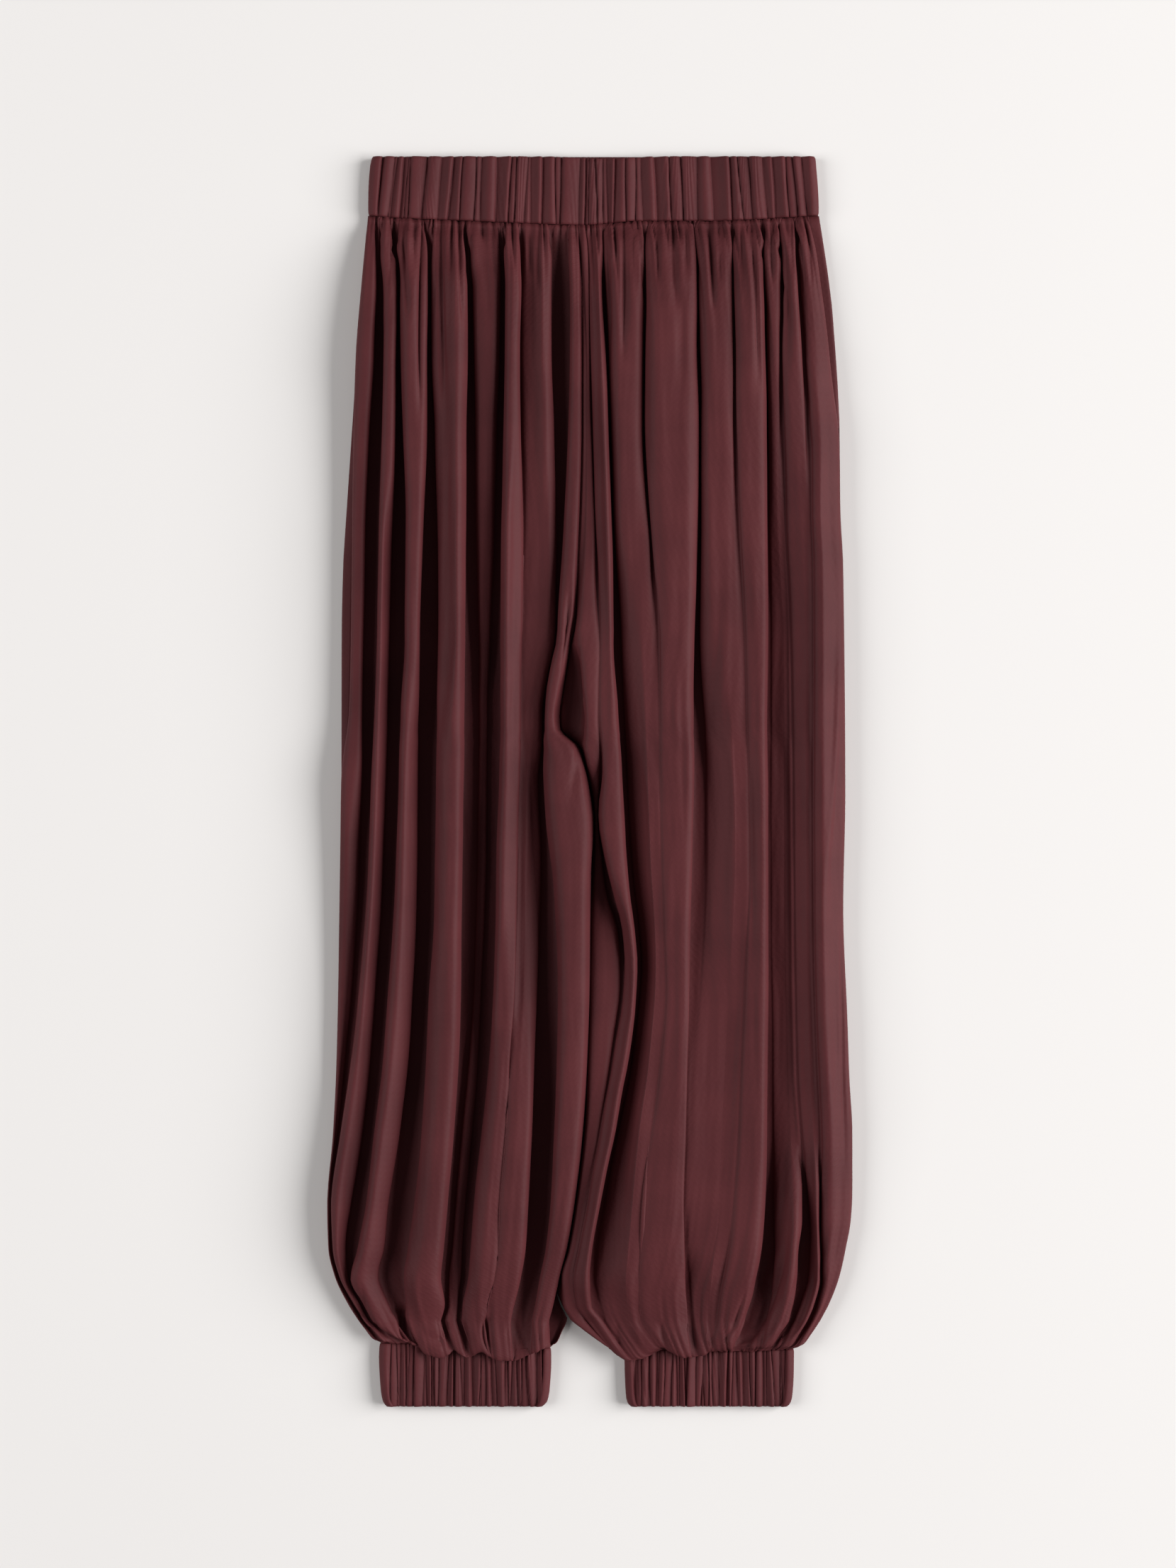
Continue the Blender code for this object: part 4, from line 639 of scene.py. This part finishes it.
def hemLattice(leg, x, z, shares, middleZ, puff):
    # the rows that turn the cloth under and bring it to the cuff's seam
    left = glide(leg["cuff"], trousers["hemStart"], 1)
    right = glide(leg["cuff"], trousers["hemStart"], 2)
    seamX = mix(left, right, shares)
    seamDown = glide(leg["seam"], seamX) - trousers["halfGap"]
    seamZ = layHeight(seamX, left, right, z[1], middleZ)
    seamZ[[0, -1]] = z[[0, -1]]
    ends = np.clip(np.minimum(shares, 1 - shares) / trousers["hemSides"], 0, 1)
    tucked = seamDown - trousers["hemTuck"]
    lowest = mix(tucked, glide(leg["drop"], seamX) if puff else tucked, ease(ends))
    rows = []
    for inward, downward, back, height, relief in hemTurn:
        rowDown = mix(mix(trousers["hemStart"], lowest, downward), seamDown, back)
        puffed = seamZ + puff * np.sqrt(1 - (1 - ends) ** 2)
        rowZ = mix(seamZ, mix(puffed, z, relief), height)
        rowZ[[0, -1]] = z[[0, -1]]
        rows.append(place(mix(x, seamX, inward), rowDown, rowZ))
    return rows


# Rows of a panel: from how far down, at what distance. They are close where the folds change fast.
rowSteps = ((54, 4), (150, 12), (462, 4), (534, 12), (882, 4))


def panelRows():
    ends = [start for start, step in rowSteps[1:]] + [trousers["hemStart"]]
    rows = [np.arange(start, end, step, dtype=float) for (start, step), end in zip(rowSteps, ends)]
    return np.concatenate(rows + [[trousers["hemStart"]]])


def frontLattice(leg):
    rows = []
    leg["spanSteps"] = spanSteps(leg)
    for down in panelRows():
        x, z = frontSection(leg, down)
        rise = ease((down - trousers["waistSeam"]) / trousers["foldsStart"])
        x = mix(np.sort(x), x, ease((down - trousers["waistSeam"]) / trousers["overhangStart"]))
        edge = np.where(x < mix(x[0], x[-1], 0.5), z[1], z[-2])
        gathered = trousers["waistLay"] + trousers["seamRelief"] * (z - 20)
        level = layHeight(x, x[0], x[-1], edge, gathered)
        z[1:-1] = mix(level, z, rise)[1:-1]
        rows.append(place(x, levelLine(x, down), z))
    hem = hemLattice(leg, x, z, arcShares(x, z), trousers["cuffLay"], trousers["hemPuff"])
    steps = 5
    turn = curveThrough(rows[-3:] + hem, steps)[2 * steps:]
    return np.concatenate((np.array(rows[:-1]), turn))


gathering = {
    "waistHeight": 4.2,
    "waistReach": 20.0,
    "hemReach": 22.0,
    "fewerAtHem": 12,
    "unevenness": 0.8,
    "plainEdge": 0.02,  # share of the width beside a seam where all of this dies out
}


def relieved(leg, points, creases, facesUp, depth):
    # gathers at both seams, creases and a faint unevenness, all of them out along the surface
    x = points[..., 0]
    down = trousers["length"] / 2 - points[..., 1]
    share = np.sort(x, axis=1)
    share = (share - x[:, :1]) / (x[:, -1:] - x[:, :1])
    waist = glide(waistLine, x)
    cuff = glide(leg["seam"], x)
    relief = gatherRelief(share, down - waist, leg["gathers"], gathering["waistHeight"] * depth,
                          gathering["waistReach"], leg["seed"])
    relief += gatherRelief(share, cuff - down, leg["gathers"] - gathering["fewerAtHem"],
                           glide(leg["hemGathers"], share) * depth, gathering["hemReach"], leg["seed"] + 2)
    relief += crumple(share, down, leg["seed"], gathering["unevenness"] * depth)
    normals = outward(points, facesUp)
    top = np.clip(np.abs(normals[..., 2]) * 2.2 - 0.2, 0, 1)  # creases stay off the upright sides
    relief += creaseRelief(creases, x, down) * top
    relief *= ease(np.clip(np.minimum(share, 1 - share) / gathering["plainEdge"], 0, 1))
    if not facesUp:
        relief = -np.abs(relief)  # the outer face lies on the floor, so its tucks go inwards
    return points + normals * relief[..., None]


# How a back turns up at its sides: distance from the side, the same where it stays flat, share of
# the rise
backRoll = ((0.0, 1.2, 0.55), (2.2, 3.2, 0.16), (6.5, 6.5, 0.0))
troughEnd = 90.0  # how far from the seams the back's troughs have their full height


def backSection(leg, down):
    left, leftRise = edgePoint(leg["backFirst"], down, 1)
    right, rightRise = edgePoint(leg["backLast"], down, -1)
    first = edgePoint((leg["backEdges"][0],) + leg["backFirst"][1:], down, 1)
    last = edgePoint((leg["backEdges"][1],) + leg["backLast"][1:], down, -1)
    leftFlat = max(0.0, 1 - leftRise / trousers["seamRise"])
    rightFlat = max(0.0, 1 - rightRise / trousers["seamRise"])
    knots = [first]
    knots += [(left + mix(rolled, flat, leftFlat), share * leftRise) for rolled, flat, share in backRoll]
    ends = ease(min(down - trousers["waistSeam"], trousers["hemStart"] - down) / troughEnd)
    troughLeft, troughRight = (glide(line, down) for line in leg["troughEdges"])
    for topShare, hemShare, width, height in leg["troughs"]:
        centre = mix(troughLeft, troughRight, mix(topShare, hemShare, down / trousers["length"]))
        knots += [(centre - width / 2, 0), (centre, height * ends), (centre + width / 2, 0)]
    knots += [(right - mix(rolled, flat, rightFlat), share * rightRise)
              for rolled, flat, share in reversed(backRoll)]
    knots.append(last)
    curve = curveThrough(knots, 5)
    return np.clip(curve[:, 0], min(left, first[0]), max(right, last[0])), np.maximum(curve[:, 1], 0)


def backLattice(leg):
    rows = []
    for down in panelRows()[::2]:
        x, z = backSection(leg, down)
        rows.append(place(x, levelLine(x, down), z))
    x, z = backSection(leg, trousers["hemStart"])
    rows.append(place(x, levelLine(x, trousers["hemStart"]), z))
    hem = hemLattice(leg, x, z, arcShares(x, z), 0.0, 0.0)
    steps = 4
    turn = curveThrough(rows[-2:] + hem, steps)[steps:]
    return np.concatenate((np.array(rows[:-1]), turn))


legCloth = crepeDeChine("crepe de chine", crepe, bumpHeight=0.25)
legPieces = []
for side, leg in (("right", rightLeg), ("left", leftLeg)):
    front = relieved(leg, frontLattice(leg), leg["creases"], True, 1.0)
    panel = clothPiece(f"frontPanel_{side}", front, legCloth, thickness=trousers["clothThickness"])
    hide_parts(f"front_{side}_leg")
    back = relieved(leg, backLattice(leg), leg["backCreases"], False, 0.7)
    back[..., 2] = np.maximum(back[..., 2], 0)
    under = clothPiece(f"backPanel_{side}", back, legCloth, False, thickness=trousers["clothThickness"])
    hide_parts(f"back_{side}_leg")
    legPieces += [panel, under]
    print(side, "leg made:", ", ".join(item["name"] for item in leg["folds"]))

pocketFacing = {
    "top": 7.6,
    "reach": 14.0,  # how far it goes in under the front
    "flatUnder": 3.0,
    "turn": 1.2,  # how far in from the side seam it starts to turn down
    "turnDrops": (0.3, 1.0),
    "rows": (54, 84, 112, 150, 180, 206, 230),
}


def facingLattice(facts):
    rows = []
    for down in facts["rows"]:
        side = glide(leftSideLine, down) - trousers["halfGap"]
        edge = glide(leftFrontEdge, down)
        inset = min(facts["turn"], 0.5 * (side - edge))
        x = np.array([edge - facts["reach"], edge - facts["flatUnder"], mix(edge, side, 0.4), side - inset,
                      side, side])
        z = np.array([facts["top"]] * 3 + [facts["top"] - drop for drop in facts["turnDrops"]]
                     + [trousers["seamRise"] + trousers["halfGap"]])
        rows.append(place(x, levelLine(x, down), z))
    lattice = curveThrough(np.array(rows), 5)
    return np.swapaxes(curveThrough(np.swapaxes(lattice, 0, 1), 4), 0, 1)


facing = clothPiece("pocketFacing_left", facingLattice(pocketFacing), legCloth,
                    thickness=trousers["clothThickness"])
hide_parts("pocket_facing_left")
print("pocket facing made")

# Elastic bands. Sides: down, left, right. Top and bottom: x, down. FrontDip, the sag of the upper
# edge in front: depth, middle, half width. Tucks: x at mid height. Lean: how far the outermost
# tucks spread from top to bottom.
waistband = {
    "sides": ((0, -184.8, 191.4), (12, -186.6, 192.2), (36, -187.8, 193.8), (58, -188, 194.4)),
    "top": ((-200, 0), (200, 0)),
    "bottom": tuple((x, down - trousers["halfGap"]) for x, down in waistLine),
    "frontDip": (2.2, 10, 30),
    "height": 11.8,
    "wall": 1.1,
    "tuckDepth": 4.2,
    "tucks": (-178.2, -176.4, -168, -165, -159.6, -155.4, -152.4, -139.2, -127.2, -118, -108.6, -96.6,
              -91.8, -79.8, -67.8, -62.4, -53.4, -50.4, -40.8, -28.8, -24, -8.4, -4.2, -1, 6, 11.4,
              14.4, 20.4, 31.2, 39, 44.4, 55.2, 68.4, 78.6, 91.8, 103.2, 119.4, 127.8, 136.8, 148.2,
              155.4, 167.4, 174.6, 181.8, 188),
    "lean": 5.4,
    "seed": 0.7,
    "columns": 700,
}


def unevenTucks(left, right, pitch, seed):
    # tuck places across a cuff, as irregular as elastic leaves them; pitch is their mean distance
    count = int((right - left) / pitch)
    steps = np.array([1 + 0.5 * math.sin(2.3 * i + seed) + 0.4 * math.sin(5.1 * i + 2 * seed)
                      for i in range(count)])
    return tuple(left + (right - left) * np.cumsum(steps) / steps.sum())


def cuffTop(leg):
    return tuple((x, down + trousers["halfGap"]) for x, down in leg["seam"])


cuffRight = {
    "sides": rightLeg["cuff"],
    "top": cuffTop(rightLeg),
    "bottom": ((-200, 1059), (200, 1059)),
    "frontDip": (0.0, 10, 30),
    "height": 11.8,
    "wall": 1.1,
    "tuckDepth": 4.0,
    "tucks": unevenTucks(-176, -36, 4.3, 1.0),
    "lean": 1.08,
    "seed": 2.9,
    "columns": 420,
}
cuffLeft = dict(cuffRight, sides=leftLeg["cuff"], top=cuffTop(leftLeg), tucks=unevenTucks(31, 171, 4.1, 2.2),
                seed=5.3)

# The wall of a band from its upper edge down: share of the height, how far it rounds in
bandProfile = (
    (0.0, 0.9), (0.02, 0.3), (0.06, 0.0), (0.14, 0.0), (0.24, 0.0), (0.36, 0.0), (0.5, 0.0), (0.64, 0.0),
    (0.76, 0.0), (0.86, 0.0), (0.93, 0.1), (0.97, 0.35), (1.0, 0.9))


def pillows(x, tucks, lean, level, seed):
    # height of the cloth between its tucks: 0 in a tuck, rounded between two, finely creased in places
    middle = 0.5 * (tucks[0] + tucks[-1])
    half = 0.5 * (tucks[-1] - tucks[0])
    tucks = np.array(tucks)
    index = np.arange(len(tucks))
    fan = lean * (tucks - middle) / half * (level - 0.5)
    sway = 1.3 * np.sin(5.3 * index + seed) * (level - 0.5) + 0.5 * np.sin(9.1 * index + 3 * level + seed)
    lines = np.sort(np.concatenate(([tucks[0] - 12], tucks + fan + sway, [tucks[-1] + 12])))
    k = np.clip(np.searchsorted(lines, x) - 1, 0, len(lines) - 2)
    gap = np.maximum(lines[k + 1] - lines[k], 0.05)
    t = np.clip((x - lines[k]) / gap, 0, 1)
    peak = 0.5 + 0.32 * np.sin(7.7 * k + seed)
    rounded = np.sin(np.pi * t ** (math.log(0.5) / np.log(peak))) ** 0.5
    rounded *= np.clip(0.30 * np.sqrt(gap) + 0.2 * np.sin(3.1 * k + seed), 0.25, 1.0)
    slant = 5.4 * np.sin(0.11 * x + seed) * (level - 0.5)
    fine = np.abs(np.sin((x + slant) * 1.05 + 1.7 * np.sin(0.23 * x + seed))) ** 0.6
    finer = np.clip(np.sin(0.09 * x + 2 * seed) + 0.6 * np.sin(0.31 * x), 0, 1)
    return rounded - 0.16 * finer * (1 - fine)


def bandLattice(band):
    # rings of points round a band, down its outside and up its plain inside
    plain = band["tuckDepth"] + band["wall"]
    middle = band["height"] / 2
    turn = np.radians(np.linspace(78, -78, 9))  # points round a side, between the front and the back
    across = np.linspace(0, 1, band["columns"])
    rings = []
    for level, roundIn in bandProfile + ((1.0, plain), (0.5, plain), (0.0, plain)):
        inner = roundIn == plain
        top = band["height"] - roundIn
        bottom = roundIn
        down = mix(glide(band["top"], 0.0), glide(band["bottom"], 0.0), level)
        left = glide(band["sides"], down, 1) + roundIn
        right = glide(band["sides"], down, 2) - roundIn
        rounding = middle - bottom
        x = mix(left + rounding, right - rounding, across)
        depth = 0.0 if inner else band["tuckDepth"]
        fade = ease(np.minimum(across, 1 - across) / 0.012)  # no tucks right beside the sides
        front = top - depth * fade * (1 - pillows(x, band["tucks"], band["lean"], level, band["seed"]))
        mirrored = [band["sides"][0][1] + band["sides"][0][2] - tuck for tuck in reversed(band["tucks"])]
        back = bottom + depth * fade * (1 - pillows(x, mirrored, band["lean"], level, band["seed"] + 1))
        ringX = np.concatenate((x, right - rounding + rounding * np.cos(turn), x[::-1],
                                left + rounding - rounding * np.cos(turn)))
        ringZ = np.concatenate((front, middle + (top - middle) * np.sin(turn), back[::-1],
                                middle - (top - middle) * np.sin(turn)))
        frontness = np.clip((ringZ - bottom) / (top - bottom), 0, 1)
        dip, dipMiddle, dipWidth = band["frontDip"]
        sag = dip * frontness * np.exp(-((ringX - dipMiddle) / dipWidth) ** 2)
        upper = glide(band["top"], ringX) + sag
        rings.append(place(ringX, mix(upper, glide(band["bottom"], ringX), level), ringZ))
    rings.append(rings[0])
    lattice = np.array(rings)
    return np.concatenate((lattice, lattice[:, :1]), axis=1)


bandCloth = crepeDeChine("crepe de chine on elastic", crepe, bumpHeight=0.2)
for name, node, band in (("waistBand", "waistband", waistband), ("ankleCuff_right", "cuff_right", cuffRight),
                         ("ankleCuff_left", "cuff_left", cuffLeft)):
    piece = clothPiece(name, bandLattice(band), bandCloth, wrap=(True, True))
    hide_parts(node)
    print(name, "made")
studio = {
    "floor": "#e5e2e0",
    "floorSize": 16.0,
    "floorHeight": -0.0003,  # just clear of the cloth
    "cameraHeight": 3.145,
    "cameraCentre": (-0.0015, -0.0021),
    "lens": 85.0,
    "softboxes": (((6.5, 0.3, 3.64), 5.2, 900.0), ((-5.0, 0.3, 3.7), 4.0, 225.0)),  # place, size, watts
    "fill": 0.15,
}


def studioPaper(facts):
    # matt seamless paper: plain and pale, with the faintest unevenness
    material = bpy.data.materials.new("seamless paper")
    material.use_nodes = True
    tree = material.node_tree
    shader = tree.nodes["Principled BSDF"]
    spot = addNode(tree, "ShaderNodeTexCoord").outputs["Object"]
    tooth = addNode(tree, "ShaderNodeTexNoise", [("Vector", spot)], Scale=900.0, Detail=2.0)
    bump = addNode(tree, "ShaderNodeBump", [("Height", tooth.outputs["Fac"])], Strength=0.05, Distance=0.0002)
    tree.links.new(bump.outputs["Normal"], shader.inputs["Normal"])
    shader.inputs["Base Color"].default_value = colour(facts["floor"])
    shader.inputs["Roughness"].default_value = 0.9
    shader.inputs["Specular IOR Level"].default_value = 0.2
    return material


floorBody = bmesh.new()
bmesh.ops.create_grid(floorBody, x_segments=4, y_segments=4, size=studio["floorSize"] / 2)
floorMesh = bpy.data.meshes.new("floor")
floorBody.to_mesh(floorMesh)
floorBody.free()
for vertex in floorMesh.vertices:
    vertex.co.z = studio["floorHeight"]
floorMesh.materials.append(studioPaper(studio))
floor = bpy.data.objects.new("floor", floorMesh)
bpy.context.scene.collection.objects.link(floor)

for spot, size, power in studio["softboxes"]:
    lamp = bpy.data.lights.new("softbox", "AREA")
    lamp.shape = "SQUARE"
    lamp.size = size
    lamp.energy = power
    lampHolder = bpy.data.objects.new("softbox", lamp)
    lampHolder.location = spot
    lampHolder.rotation_mode = "QUATERNION"
    lampHolder.rotation_quaternion = Vector(spot).to_track_quat("Z", "Y")
    bpy.context.scene.collection.objects.link(lampHolder)

world = bpy.data.worlds.new("studio")
world.use_nodes = True
world.node_tree.nodes["Background"].inputs["Color"].default_value = (1, 1, 1, 1)
world.node_tree.nodes["Background"].inputs["Strength"].default_value = studio["fill"]
bpy.context.scene.world = world

view = bpy.data.cameras.new("overhead camera")
view.lens = studio["lens"]
view.sensor_width = 36.0
view.clip_end = 20.0
camera = bpy.data.objects.new("overhead camera", view)
camera.location = studio["cameraCentre"] + (studio["cameraHeight"],)
bpy.context.scene.collection.objects.link(camera)
bpy.context.scene.camera = camera
bpy.context.scene.view_settings.view_transform = "Standard"
print("studio made")

bpy.context.view_layer.update()
